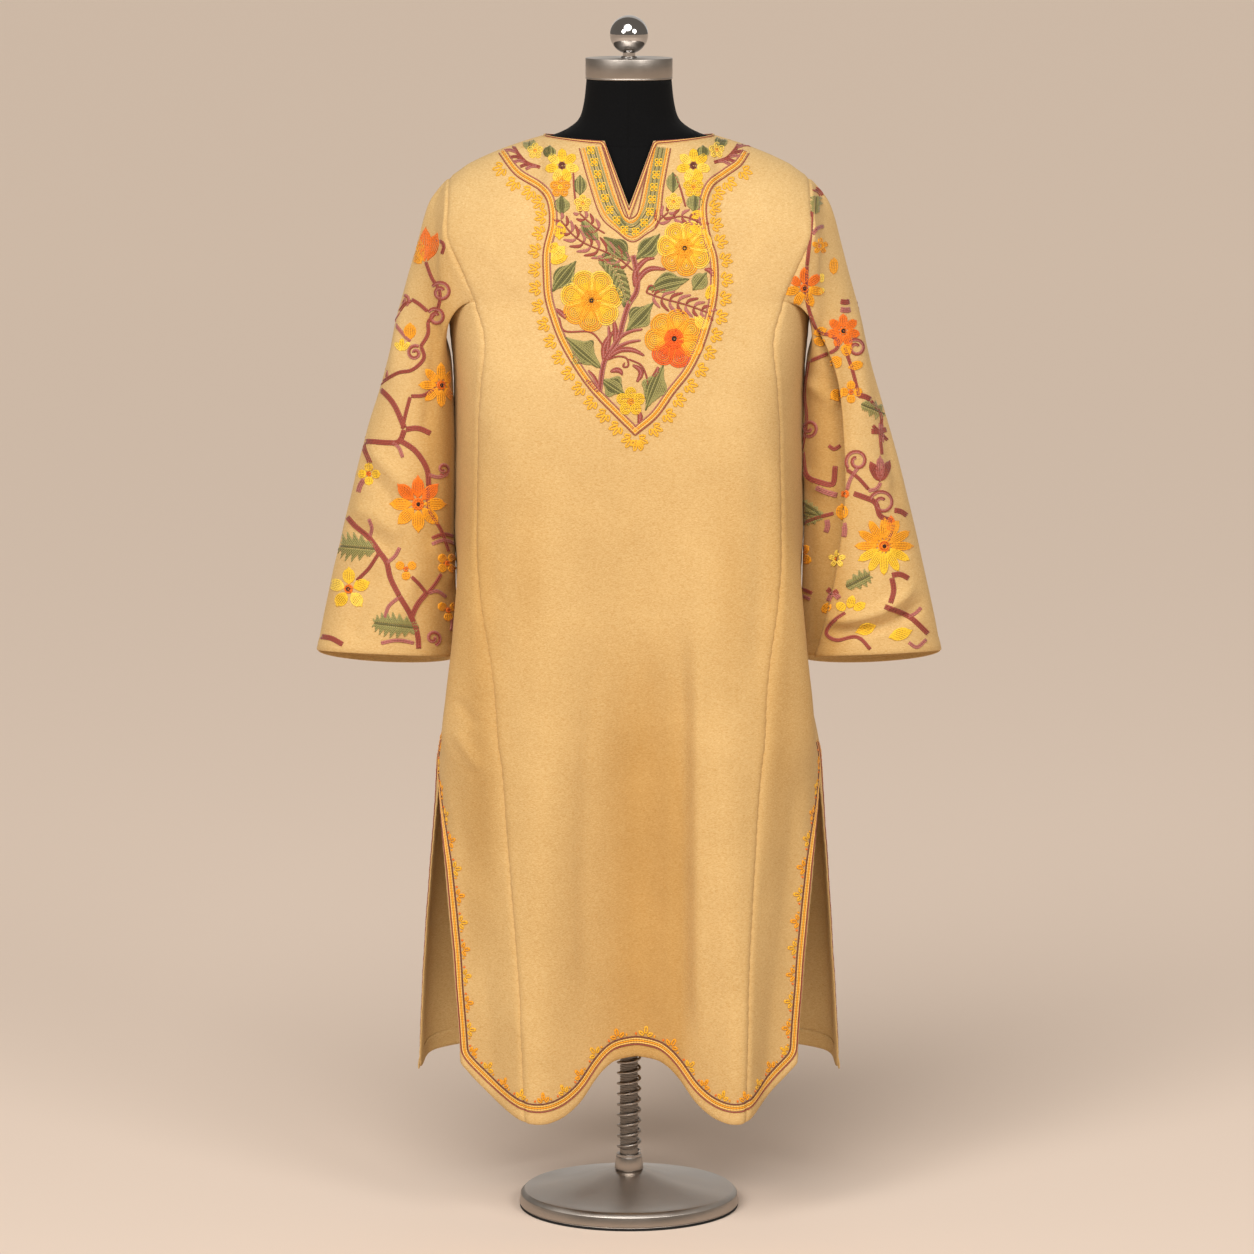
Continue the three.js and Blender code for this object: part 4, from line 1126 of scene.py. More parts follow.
class Threadwork:
    """Rows of chain stitch laid on the named cloth and gathered into one mesh."""

    def __init__(self, name, cloth, seed):
        self.name = name
        self.cloth = [surface_tree(bpy.data.objects[piece]) for piece in cloth]
        self.chance = np.random.default_rng(seed)
        self.corners, self.colours, self.faces, self.maps = [], [], [], []
        self.count = 0

    def hit(self, start, way, reach):
        """The nearest place on the cloth along a ray, with its normal turned to face the ray."""
        found = [tree.ray_cast(start, way, reach) for tree in self.cloth]
        found = [(hit[3], hit[0], hit[1]) for hit in found if hit[0] is not None]
        if not found:
            return None
        _, place, normal = min(found, key=lambda one: one[0])
        return np.array(place) / MM, np.array(normal if normal.dot(way) < 0 else -normal)

    def lay(self, hits, colour, width=1.0, height=1.0):
        """Stitches a row through places on the cloth, broken where the cloth is missing or steps away."""
        part = []
        for one in [*hits, None]:
            stepped = part and one is not None and np.linalg.norm(one[0] - part[-1][0]) > THREAD["break"]
            if one is None or stepped:
                if len(part) > 2:
                    places, normals = zip(*part)
                    self.stitch(np.array(places), np.array(normals), colour, width, height)
                part = []
            if one is not None:
                part.append(one)

    def stitch(self, places, normals, colour, width, height):
        count = len(places)
        ahead = unit(np.gradient(places, axis=0))
        beside = unit(np.cross(normals, ahead))
        open_link = np.arange(count) % 2 == 1
        wide = THREAD["width"] * width * np.where(open_link, LINK["open"], LINK["join"])
        high = THREAD["height"] * height * np.where(open_link, LINK["open_height"], 1.0)
        for end in (0, -1):
            wide[end] *= 0.5
            high[end] *= 0.35
        sink = THREAD["sink"]
        ring = [
            places - beside * wide[:, None] - normals * sink,
            places - beside * 0.55 * wide[:, None] + normals * high[:, None],
            places + beside * 0.55 * wide[:, None] + normals * high[:, None],
            places + beside * wide[:, None] - normals * sink,
        ]
        self.corners.append(np.stack(ring, 1).reshape(-1, 3))
        tone = 1 + LINK["tones"] * (self.chance.random() - 0.5)
        # Painted shade: each join and the thread's two lower sides are painted darker, so the links look round.
        painted_round_shade = np.array([LINK["side_painted_shade"], 1.0, 1.0, LINK["side_painted_shade"]])[None, :, None]
        shade = np.where(open_link, 1.0, LINK["join_painted_shade"])[:, None, None] * painted_round_shade
        self.colours.append((shade * (np.array(THREAD_COLOURS[colour]) * tone)).reshape(-1, 3))
        index = self.count + np.arange(count * 4).reshape(count, 4)
        run = run_of(places) * MM
        for k in range(4):
            after = (k + 1) % 4
            face = [index[:-1, k], index[:-1, after], index[1:, after], index[1:, k]]
            self.faces.append(np.stack(face, -1))
            sides = [(run[:-1], k), (run[:-1], k + 1), (run[1:], k + 1), (run[1:], k)]
            rounds = THREAD["width"] * MM * 0.6
            self.maps.append(np.stack([np.stack([u, np.full_like(u, v * rounds)], -1) for u, v in sides], 1))
        self.faces.append(np.stack([index[0][::-1], index[-1]]))
        self.maps.append(np.zeros((2, 4, 2)))
        self.count += count * 4

    def made(self):
        if "embroidery" not in MADE:
            MADE["embroidery"] = thread_material()
        corners = np.concatenate(self.corners) * MM
        piece = mesh_object(self.name, corners, np.concatenate(self.faces), np.concatenate(self.maps))
        layer = piece.data.color_attributes.new("thread_colour_and_painted_shade", "FLOAT_COLOR", "POINT")
        colours = np.concatenate(self.colours)
        full = np.concatenate([colours, np.ones((len(colours), 1))], 1).astype(np.float32)
        layer.data.foreach_set("color", full.ravel())
        finish_piece(piece, MADE["embroidery"], "embroidery")


def surface_tree(piece):
    shape = bmesh.new()
    shape.from_mesh(piece.data)
    tree = BVHTree.FromBMesh(shape)
    shape.free()
    return tree


# The bare share of a fern's stem, and the frond length past which its fronds are two rows wide.
FERN_STALK = 0.12
FERN_FULL = 10
# Rays meet the cloth from the camera's place, or from behind it, within a reach in metres. On an edge
# they start so many millimetres above the cloth.
BEHIND_Y = 0.5
RAY_REACH = 8.0
EDGE_RAY = {"above": 25, "reach": 0.05}


class Chart:
    """An upright plane in front of the cloth, drawn on in millimetres across and up."""

    def __init__(self, work, depth_y, behind=False, mirrored=False):
        self.work = work
        self.depth_y = depth_y
        self.behind = behind
        self.turn = np.array([-1 if mirrored else 1, 1])

    def at(self, *pixels):
        """Places on the plane, counted in the photograph's pixels."""
        return seen_at(*np.array(pixels, float).T, self.depth_y) * self.turn

    def hits(self, line):
        eye = np.array([CAMERA["x"], CAMERA["y"], CAMERA["z"]])
        for x, z in line:
            if self.behind:
                start, way = Vector((x * MM, BEHIND_Y, z * MM)), Vector((0, -1, 0))
            else:
                start = Vector(eye * MM)
                way = Vector((np.array([x, self.depth_y, z]) - eye) * MM).normalized()
            yield self.work.hit(start, way, RAY_REACH)

    def row(self, points, colour, width=1.0, height=1.0):
        line = smooth_path(points, THREAD["link"] / 2)
        self.work.lay(self.hits(line), colour, width, height)

    def loop(self, points, colour, width=1.0, height=1.0):
        self.row(np.concatenate([points, points[:1]]), colour, width, height)

    def petal(self, centre, angle, inner, outer, spread, colours):
        """A wedge of a petal filled with rings one inside the next. Spread is half its angle."""
        ahead = towards(angle)
        beside = left_of(ahead)
        inset = 0.0
        while outer - inner - 2 * inset > 2 and outer * 0.62 * math.tan(spread) > inset + 0.3:
            t = circle(14)
            middle, half = (inner + outer) / 2, (outer - inner) / 2 - inset
            along = middle - half * np.cos(t)
            width = np.maximum(0.2, along * math.tan(spread) - inset)
            width *= 1 - 0.5 * smooth((along - middle) / half - 0.25)
            across = width * np.sign(np.sin(t)) * np.abs(np.sin(t)) ** 0.7
            outline = centre + along[:, None] * ahead + across[:, None] * beside
            self.loop(outline, colours[min(len(colours) - 1, round(inset / THREAD["pitch"]))])
            inset += THREAD["pitch"]

    def flower(self, centre, radius, petals, colours, start, heart):
        """A round flower of wedge petals. Colours names each petal's own, from outside to inside."""
        centre = np.asarray(centre)
        for k in range(petals):
            angle = math.radians(start) + 2 * math.pi * k / petals
            self.petal(centre, angle, radius * 0.16, radius, math.pi / petals * 1.1, colours[k % len(colours)])
        for k in range(6):
            self.knot(centre + radius * 0.19 * towards(2 * math.pi * k / 6), radius * 0.07, heart, 1.5)
        self.disc(centre, radius * 0.33, heart, 1.35)
        self.disc(centre, 2.2, "black", 2.4)

    def knot(self, centre, radius, colour, height=1.15):
        t = circle(6)
        ring = np.asarray(centre) + max(0.7, radius) * np.stack([np.cos(t), np.sin(t)], -1)
        self.loop(ring, colour, 0.9, height)

    def disc(self, centre, radius, colour, height=1.1):
        """A round filled with rings one inside the next."""
        while radius > 0.4:
            self.knot(centre, radius, colour, height)
            radius -= THREAD["pitch"] * 0.85

    def daisy(self, centre, radius, petals, colour, start=90.0, heart="black", arc=360.0):
        """Slim petals of two or three rows, round a dark middle, on the whole circle or an arc of it."""
        centre = np.asarray(centre, float)
        spans = petals if arc >= 360 else petals - 1
        for k in range(petals):
            angle = math.radians(start + arc * k / max(1, spans))
            ahead = towards(angle)
            tone = colour if isinstance(colour, str) else colour[k % len(colour)]
            slim = 0.86 * radius * math.sin(math.pi / max(5, 360 / arc * petals))
            self.leaf(centre + ahead * radius * 0.16, centre + ahead * radius, slim, (tone,))
        self.disc(centre, radius * 0.17, "orange" if heart == "black" else heart, 1.4)
        if heart == "black":
            self.disc(centre, 1.9, "black", 2.2)

    def leaf(self, base, tip, width, colours=("olive", "dark_olive"), bend=0.0):
        """A pointed leaf of rows side by side; the middle row takes the last colour."""
        base, tip = np.asarray(base, float), np.asarray(tip, float)
        span = tip - base
        beside = left_of(span) / max(1e-6, np.linalg.norm(span))
        rows = max(0, round((width / 2) / THREAD["pitch"]))
        t = np.linspace(0, 1, 9)
        for k in range(-rows, rows + 1):
            lateral = k * THREAD["pitch"] * np.sin(math.pi * np.clip(t, 0.03, 0.97)) ** 0.38
            low, high = 0.05 * abs(k) + 0.04 * self.work.chance.random(2)
            line = base + np.outer(mix(low, 1 - high, t), span)
            line += np.outer(lateral + bend * np.sin(math.pi * t), beside)
            dark = k == 0 or self.work.chance.random() < 0.3
            self.row(line, colours[-1] if dark else colours[0], 1.1)

    def notched(self, base, tip, width):
        """A leaf with a ragged edge: slanting strokes on both sides of its rib."""
        span = tip - base
        length = np.linalg.norm(span)
        ahead = span / length
        beside = left_of(ahead)
        self.row([base, mix(base, tip, 0.5), tip], "dark_olive")
        count = max(4, round(length / (THREAD["pitch"] * 1.15)))
        for k in range(count):
            t = (k + 0.3) / count
            reach = width / 2 * math.sin(math.pi * min(0.97, 0.12 + 0.85 * t)) ** 0.7
            reach *= (1.2, 0.95, 0.7)[k % 3]
            for side in (-1, 1):
                start = base + span * t + beside * side * 1.2
                stop = start + (beside * side + ahead * 0.75) * reach
                self.row([start, mix(start, stop, 0.55) + ahead * 0.8, stop], "olive")

    def fern(self, spine, length, colours, spacing):
        """A curved stem with short fronds set forwards on both its sides."""
        line = smooth_path(spine, spacing)
        self.row(spine, colours[0], 1.05)
        ahead = unit(np.gradient(line, axis=0))
        for k in range(max(1, int(len(line) * FERN_STALK)), len(line)):
            t = k / (len(line) - 1)
            reach = length * (0.55 + 0.45 * math.sin(math.pi * min(1, t * 0.8 + 0.2)))
            for side in (-1, 1):
                beside = left_of(ahead[k]) * side
                away = ahead[k] * 0.75 + beside * 0.75
                bent = line[k] + (ahead[k] * 0.25 + beside * 0.55) * reach * 0.6
                frond = np.array([line[k] + beside, bent, line[k] + away * reach])
                tone = colours[(k + (side > 0)) % 2]
                self.row(frond, tone, 1.35)
                if length > FERN_FULL:
                    self.row(frond + [[0, 0], beside * 1.9, beside * 0.3 - away * 1.2], tone, 1.35)

    def blossom(self, centre, radius, colours=("yellow", "amber"), lobes=5, start=90.0):
        """A little flower of round lobes."""
        centre = np.asarray(centre, float)
        for k in range(lobes):
            angle = math.radians(start) + 2 * math.pi * k / lobes
            self.disc(centre + radius * 0.62 * towards(angle), radius * 0.36, colours[0])
        self.disc(centre, radius * 0.2, colours[-1], 1.3)

    def sprig(self, at, way, size, colour="gold", lobes=4):
        """A fan of little loops set outside a border."""
        at, way = np.asarray(at, float), unit(np.asarray(way, float))
        beside = left_of(way)
        for k in range(lobes):
            turn = math.radians(mix(-50, 50, k / (lobes - 1)))
            ahead = way * math.cos(turn) + beside * math.sin(turn)
            reach = size * (1.0 if 0 < k < lobes - 1 else 0.72)
            middle = at + ahead * reach * 0.62
            t = circle(7)
            loop = middle - np.outer(np.cos(t) * reach * 0.34, ahead)
            self.loop(loop + np.outer(np.sin(t) * size * 0.11, left_of(ahead)), colour, 1.15)


# The yoke's chart, in millimetres across and up on the upright plane through the chest.
YOKE_DEPTH_Y = -118
YOKE_FRAME = {
    "left": [
        (-154, 1289), (-133, 1261), (-105, 1243), (-95, 1228), (-93, 1203), (-100, 1172), (-100, 1142),
        (-98, 1116), (-90, 1088), (-80, 1063), (-64, 1035), (-44, 1007), (-18, 980), (7, 955),
    ],
    "right": [
        (140, 1286), (130, 1271), (112, 1258), (97, 1246), (90, 1223), (94, 1192), (102, 1167), (104, 1142),
        (102, 1114), (94, 1081), (84, 1053), (71, 1028), (53, 1005), (33, 977), (7, 955),
    ],
}
# The border's rows, each with its place inward and its width, and its sprigs.
BORDER = {
    "rows": [
        ("brick", 0.0, 0.75), ("band", 2.3, 1.05), ("amber", 4.4, 1.05), ("band", 6.4, 1.05), ("mauve", 8.6, 0.75),
    ],
    "sprig_gap": 2.6, "sprig_step": 21.0, "sprig": 15.5,
}

YOKE_STEMS = [
    [(4.6, 1167), (9.7, 1142), (8.5, 1124), (-0.5, 1109), (-6.9, 1089), (-13, 1068), (-28.6, 1043), (-35, 1005)],
    [(-82, 1094), (-75, 1078), (-46.5, 1077), (-34, 1066), (-26, 1050)],
    [(-65, 1263), (-64, 1244), (-62, 1226)], [(53, 1261), (60, 1244), (66, 1223)],
    [(-28.6, 1043), (-14, 1048), (-3, 1046), (-1, 1037), (-7, 1036), (-5, 1041)],
    [(-0.5, 1045), (14, 1038), (20, 1026), (22.5, 1014)], [(20, 1123), (24, 1131), (30, 1129), (27, 1123)],
]
YOKE_BLADES = [
    ([(7.2, 1127), (14, 1140), (25, 1149), (43, 1150)], 2), ([(6, 1130), (9, 1146), (20, 1160), (30, 1163)], 2),
    ([(-28.6, 1043), (-14, 1057), (0, 1064), (14, 1067)], 1),
    ([(-28.6, 1043), (-12, 1053), (4, 1054), (18, 1049)], 2),
    ([(-24, 1050), (-14, 1066), (0, 1076), (16, 1080)], 1), ([(-30, 1042), (-27, 1060), (-18, 1078)], 2),
    ([(-26, 1052), (-22, 1068), (-24, 1084)], 1), ([(-17, 1064), (-14, 1078), (-18, 1092)], 2),
    ([(-35, 1005), (-42, 1016), (-52, 1022)], 2), ([(-34, 1010), (-40, 1024), (-48, 1032)], 1),
    ([(-22, 1030), (-12, 1030), (-8, 1026)], 2), ([(4, 1038), (12, 1030), (9, 1018)], 2),
    ([(11, 985), (11, 977), (11, 969)], 2), ([(-86, 1104), (-80, 1097), (-73, 1092)], 2),
    ([(88, 1150), (94, 1147), (98, 1141)], 2), ([(34, 1036), (30, 1029), (27, 1024)], 2),
]
YOKE_FERNS = [
    ([(4.6, 1149), (-10.7, 1162), (-26, 1170), (-39, 1175), (-54, 1182), (-67, 1192), (-80, 1208)], 18),
    ([(-28, 1192), (-42, 1201), (-58, 1216)], 12.5), ([(30, 1198), (36, 1208), (46, 1217)], 14),
    ([(44, 1208), (60, 1212), (76, 1208), (87, 1202)], 11.5), ([(20, 1123), (40, 1116), (66, 1109), (94, 1099)], 17),
]
YOKE_LEAVES = [
    ((-57, 1236), (-57, 1261), 12, 0), ((51, 1239), (51, 1264), 12, 0),
    ((-78, 1213), (-79, 1237), 15, 0), ((76, 1216), (77, 1240), 15, 0),
    ((-56, 1208), (-35, 1183), 10, -2), ((-31, 1189), (3, 1158), 17, 2),
    ((7, 1161), (36, 1192), 16, -2), ((-91, 1123), (-61, 1161), 17, 0),
    ((20, 1126), (72, 1139), 17, 3), ((74, 1125), (91, 1147), 14, 0),
    ((-4, 1077), (29, 1112), 20, 0), ((-77, 1073), (-30, 1032), 27, 0),
    ((41, 1040), (19, 984), 23, 0), ((-32, 1022), (-5, 1004), 20, 0),
    ((-116, 1288), (-116, 1305), 11, 0), ((107, 1291), (107, 1308), 11, 0),
    ((-93, 1279), (-92, 1295), 11, 0), ((86, 1279), (86, 1295), 11, 0),
]
YOKE_BLOSSOMS = [
    ((-80, 1246), 12, ("amber", "yellow")), ((75, 1246), 12, ("yellow", "amber")),
    ((-54, 1227), 10, ("pale_yellow", "amber")), ((52, 1229), 10, ("pale_yellow", "amber")),
    ((-109, 1288), 9, ("pale_yellow", "amber")), ((102, 1289), 9, ("pale_yellow", "amber")),
    ((2, 995), 17, ("yellow", "amber")),
]
# The large flowers: middle, radius, each petal's tones, where the first petal points, and the heart.
PETAL_TONES = {
    "y": ("pale_yellow", "yellow", "gold", "yellow"), "a": ("amber", "gold", "amber", "gold"),
    "r": ("vermilion", "vermilion", "orange", "vermilion"),
}
YOKE_FLOWERS = [
    ((-44, 1114), 36, "yyyaayy", 62, "amber"), ((65, 1175), 32, "yyyaayy", 70, "amber"),
    ((53, 1069), 34, "aaarraa", 80, "vermilion"),
]
YOKE_PETALS = [
    ((-81, 1206), (-81, 1184), 12, "yellow"), ((71, 1212), (87, 1216), 8, "yellow"),
    ((70, 1200), (92, 1193), 9, "yellow"), ((99, 1134), (91, 1114), 10, "yellow"),
    ((76, 1096), (93, 1080), 14, "pale_yellow"), ((-92, 1160), (-74, 1178), 11, "pale_yellow"),
    ((-93, 1158), (-71, 1166), 10, "yellow"), ((-93, 1168), (-84, 1182), 9, "yellow"),
]
NECK_BAND = {
    "outer": [
        (580, 148), (589, 180), (601, 215), (616, 230), (632, 241), (646, 233), (658, 222), (663, 186), (670, 148),
    ],
    "inner": [
        (601, 146), (612, 182), (622, 211), (626, 218), (631, 220), (635, 217), (639, 211), (646, 180), (653, 146),
    ],
}


def both_ways(points, offset):
    """A line moved sideways, to its left, by an offset in millimetres."""
    points = np.asarray(points, float)
    ahead = unit(np.gradient(points, axis=0))
    return points + offset * left_of(ahead)


def border(chart, path, inward):
    """A border of brick lines and a yellow-orange band. Inward is 1 where the inside is to its left."""
    path = smooth_path(path, 6.0)
    for colour, offset, width in BORDER["rows"]:
        chart.row(both_ways(path, inward * offset), colour, width)
    stops = smooth_path(path, BORDER["sprig_step"])
    ahead = unit(np.gradient(stops, axis=0))
    for place, way in zip(stops[1:], ahead[1:]):
        outwards = -inward * left_of(way)
        chart.sprig(place + outwards * BORDER["sprig_gap"], outwards - way * 0.15, BORDER["sprig"])


# A stem's rows in millimetres: how far apart they are, and how wide against a single row. A leaf of the
# yoke is fuller than its width says.
STEM = {"gap": 2.0, "width": 1.25}
YOKE_LEAF_FULLNESS = 1.22
CORNER_FERN = {"base": {-1: (-103, 1270), 1: (99, 1274)}, "shares": (0.1, 0.28, 0.46, 0.64, 0.82, 1.0), "gap": 1.9}


def yoke(chart):
    """The framed bouquet on the chest."""
    border(chart, YOKE_FRAME["left"], 1)
    border(chart, YOKE_FRAME["right"], -1)
    tip = np.array(YOKE_FRAME["left"][-1])
    chart.sprig(tip + (2, -4), (0.1, -1), 15)
    neck_band(chart)
    for stem in YOKE_STEMS:
        chart.row(stem, "brick", 1.15)
    for offset in (-2.0, 2.0):
        chart.row(both_ways(smooth_path(YOKE_STEMS[0], 5), offset), "mauve", 1.1)
    for blade, rows in YOKE_BLADES:
        for k in range(rows + 1):
            line = smooth_path(blade, 4)
            swell = np.sin(np.linspace(0, math.pi, len(line)))[:, None]
            moved = line + (both_ways(line, STEM["gap"] * k) - line) * swell
            chart.row(moved, ("brick", "mauve")[k % 2], STEM["width"])
    for spine, length in YOKE_FERNS:
        chart.fern(spine, length, ("brick", "mauve"), 9.4)
    for hand, base in CORNER_FERN["base"].items():
        spine = smooth_path(np.array(base) + [(0, 0), (hand * 15, 5), (hand * 25, 15), (hand * 31, 25)], 3)
        strokes = [spine]
        for share in CORNER_FERN["shares"]:
            start = spine[int(share * (len(spine) - 1))]
            stop = start + (hand * mix(15, 18, share), mix(-4, 3, share))
            strokes.append(smooth_path([start, mix(start, stop, 0.5) + (0, 2), stop], 4))
        for k, stroke in enumerate(strokes):
            for offset in (0, CORNER_FERN["gap"]):
                chart.row(both_ways(stroke, offset), ("brick", "mauve")[k % 2], 1.2)
    for base, tip, width, bend in YOKE_LEAVES:
        chart.leaf(base, tip, width * YOKE_LEAF_FULLNESS, bend=bend)
    chart.fern([(-41, 1166), (-28, 1160), (-13, 1142), (-3, 1112)], 12, ("olive", "dark_olive"), 4.2)
    for base, tip, width, colour in YOKE_PETALS:
        chart.leaf(base, tip, width, (colour,))
    for centre, radius, colours in YOKE_BLOSSOMS:
        chart.blossom(centre, radius, colours)
    for hand in (-1, 1):
        chart.daisy((hand * 76.5 - 1.5, 1271), 21, 7, ("yellow", "pale_yellow"), heart="dark")
    for middle, radius, petals, start, heart in YOKE_FLOWERS:
        chart.flower(middle, radius, 7, [PETAL_TONES[tone] for tone in petals], start, heart)


def neck_band(chart):
    """The band round the slit: olive ground, little yellow flowers and a border on each side."""
    outer = smooth_path(chart.at(*NECK_BAND["outer"]), 5.0)
    inner = smooth_path(chart.at(*NECK_BAND["inner"]), 5.0)
    even = np.linspace(0, 1, 48)

    def across(share):
        sides = []
        for line in (outer, inner):
            sides.append(read_at(even * (len(line) - 1), np.arange(len(line)), line))
        return mix(sides[0], sides[1], share)

    for share, colour, width in (
        (-0.04, "brick", 0.7), (0.07, "band", 0.95), (0.17, "amber", 0.8),
        (0.86, "amber", 0.8), (0.95, "band", 0.95), (1.05, "brick", 0.7),
    ):
        chart.row(across(share), colour, width)
    for k, share in enumerate(np.linspace(0.29, 0.75, 5)):
        chart.row(across(share), ("olive", "dark_olive")[k % 2], 1.0, 0.6)
    middle = across(0.52)
    for place in smooth_path(middle, 15.0)[:-1]:
        chart.blossom(place + (0, -4), 5.4, ("yellow", "amber"), 4, 45)


class EdgeChart(Chart):
    """A chart along a line on the cloth: across is the way along it, and up the way in from it."""

    def __init__(self, work, places, normals, turn=1):
        self.work = work
        self.run = run_of(places)
        inward = unit(np.cross(normals, unit(np.gradient(places, axis=0)))) * turn
        self.frames = np.concatenate([places, eased(normals, 4), eased(inward, 4)], 1)

    def hits(self, line):
        line = np.asarray(line, float)
        frames = read_at(line[:, 0], self.run, self.frames)
        places, normals, inward = frames[:, :3], unit(frames[:, 3:6]), unit(frames[:, 6:])
        starts = places + inward * line[:, 1:] + normals * EDGE_RAY["above"]
        for start, normal in zip(starts * MM, normals):
            yield self.work.hit(Vector(start), Vector(-normal), EDGE_RAY["reach"])


def eased(rows, reach):
    """Rows of numbers evened out over so many neighbours on each side."""
    padded = np.concatenate([rows[:1].repeat(reach, 0), rows, rows[-1:].repeat(reach, 0)])
    return np.mean([padded[k : k + len(rows)] for k in range(2 * reach + 1)], 0)


def flap_line(side, from_slit, from_hem, start_level, step):
    """A line round a flap from slit top to slit top, set in from its edges, with the cloth's normals."""
    share, level = np.meshgrid(np.linspace(-1, 1, 201), np.linspace(start_level, 2, 150))
    points = lower_body(side, share, level)
    both = np.concatenate([points, normals_of(points, facing(side, 0.0))], -1)
    wide = lengths(points, 1)
    run = lengths(points, 0)
    to_hem = run[-1:] - run
    parts = []
    for from_left in (True, False):
        edge = wide if from_left else wide[:, -1:] - wide
        found = [
            read_at(from_slit, *ordered(keys, np.column_stack([rows, hems])))
            for keys, rows, hems in zip(edge, both, to_hem)
        ]
        part = np.array([row[:6] for row in found if row[6] > from_hem])
        parts.append(part if from_left else part[::-1])
    columns = [
        read_at(from_hem, *ordered(to_hem[:, j], both[:, j]))
        for j in range(wide.shape[1])
        if from_slit < wide[-1, j] < wide[-1, -1] - from_slit
    ]
    line = np.concatenate([parts[0], np.array(columns), parts[1]])
    run = run_of(line[:, :3])
    line = read_at(np.linspace(0, run[-1], int(run[-1] / step)), run, line)
    line = np.concatenate([line[:2], eased(line, 2)[2:-2], line[-2:]])
    return line[:, :3], unit(line[:, 3:])


def ordered(keys, values):
    """Keys and values in rising order of the keys."""
    return (keys, values) if keys[-1] > keys[0] else (keys[::-1], values[::-1])


HEM_BORDER = {"from_slit": 11.0, "from_hem": 19.0, "start_level": 0.95, "sprig_step": 32.0, "sprig": 14.0}


def hem_border(work, side):
    """The border round a flap: a band between dark lines, with sprigs and dots inside it."""
    places, normals = flap_line(
        side, HEM_BORDER["from_slit"], HEM_BORDER["from_hem"], HEM_BORDER["start_level"], 3.0
    )
    chart = EdgeChart(work, places, normals)
    middle = places[len(places) // 2]
    if (middle + 20 * chart.frames[len(places) // 2, 6:])[2] < middle[2]:
        chart = EdgeChart(work, places, normals, -1)
    length = chart.run[-1]
    for offset, colour, width in (
        (-4.6, "brick", 0.75), (-2.1, "band", 1.0), (0.2, "amber", 1.0), (2.4, "band", 0.9), (4.8, "dark", 0.75),
    ):
        even = np.arange(10, length - 10, 6.0)
        chart.row(np.stack([even, np.full_like(even, offset)], -1), colour, width)
    for k, run in enumerate(np.arange(12, length - 12, HEM_BORDER["sprig_step"] / 3)):
        if k % 3 == 0:
            chart.sprig((run, 5.4), (0, 1), HEM_BORDER["sprig"], "gold" if k % 2 else "amber", 3)
        else:
            chart.knot((run, 8.6), 1.0, "amber" if k % 3 == 1 else "orange", 1.2)


def neck_line(side, share_of_step):
    """A line along the neckline's binding, with the cloth's normals."""
    share = np.linspace(-NECK_SHARE * 0.985, NECK_SHARE * 0.985, 141)
    level = top_level(side, share) + binding_step(side, share) * share_of_step
    both = np.linspace(0, 0.01, 3)
    grid = panel(side, np.repeat(share[None], 3, 0), level[None] + both[:, None])
    return grid[0], normals_of(grid, facing(side))[0]


BINDING = {"step": 0.037, "slit_step": 0.1, "thick": 1.1}
BINDING_CUT = {"front": {"flat": (0.02, 0.4), "area": 0.0026}, "back": {"flat": (0.01, 0.26), "area": 0.0013}}
HEM_CUT = {"front": (0.0135, 1.3), "back": (0.0155, 1.34)}
CUFF_CUT = {"left": (0.0135, 0.46), "right": (0.0135, 0.476)}


def binding_step(side, share):
    """How far down the panel the binding reaches: further in the slit, whose columns are shorter."""
    if side == "back":
        return np.full(share.shape, BINDING["step"])
    return mix(BINDING["slit_step"], BINDING["step"], smooth((np.abs(share) - SLIT_SHARE) / 0.02))


def binding_surface(side):
    """The rounded strip of binding laid on the panel along its neckline."""
    inner = np.linspace(-SLIT_SHARE, SLIT_SHARE, 41)
    outer = np.linspace(SLIT_SHARE, NECK_SHARE, 41)[1:]
    share = np.concatenate([-outer[::-1], inner, outer])
    way = np.linspace(0, 1, 7)[:, None]
    level = top_level(side, share)[None] + binding_step(side, share)[None] * way
    points = panel(side, np.repeat(share[None], 7, 0), level)
    normals = normals_of(points, facing(side))
    swell = SEAM_GAP + BINDING["thick"] * (0.45 + 0.55 * np.sin(math.pi * way) ** 0.6)
    return points + normals * swell[..., None], normals


HEM_STRIP = {"margins": (0.8, 4.0, 8.0, 12.0, 16.0, 20.0), "at_slit": 11.0, "start_level": 1.02, "columns": 420}


def hem_strip(side):
    """The turned-up hem inside a flap, from its edge to where it is stitched."""
    rows = []
    for margin in HEM_STRIP["margins"]:
        from_slit = min(margin, HEM_STRIP["at_slit"] * margin / HEM_STRIP["margins"][-1] + 0.4)
        places, normals = flap_line(side, from_slit, margin, HEM_STRIP["start_level"], 2.0)
        even = np.linspace(0, 1, HEM_STRIP["columns"]) * (len(places) - 1)
        both = np.concatenate([places, normals], 1)
        rows.append(read_at(even, np.arange(len(both)), both))
    grid = np.stack(rows)
    points, normals = grid[..., :3], unit(grid[..., 3:])
    depth = crease_height(points[..., [0, 2]], side) + undulation(points, UNEVEN_SEED[side])
    return points + normals * (depth - CLOTH - 0.2)[..., None], normals


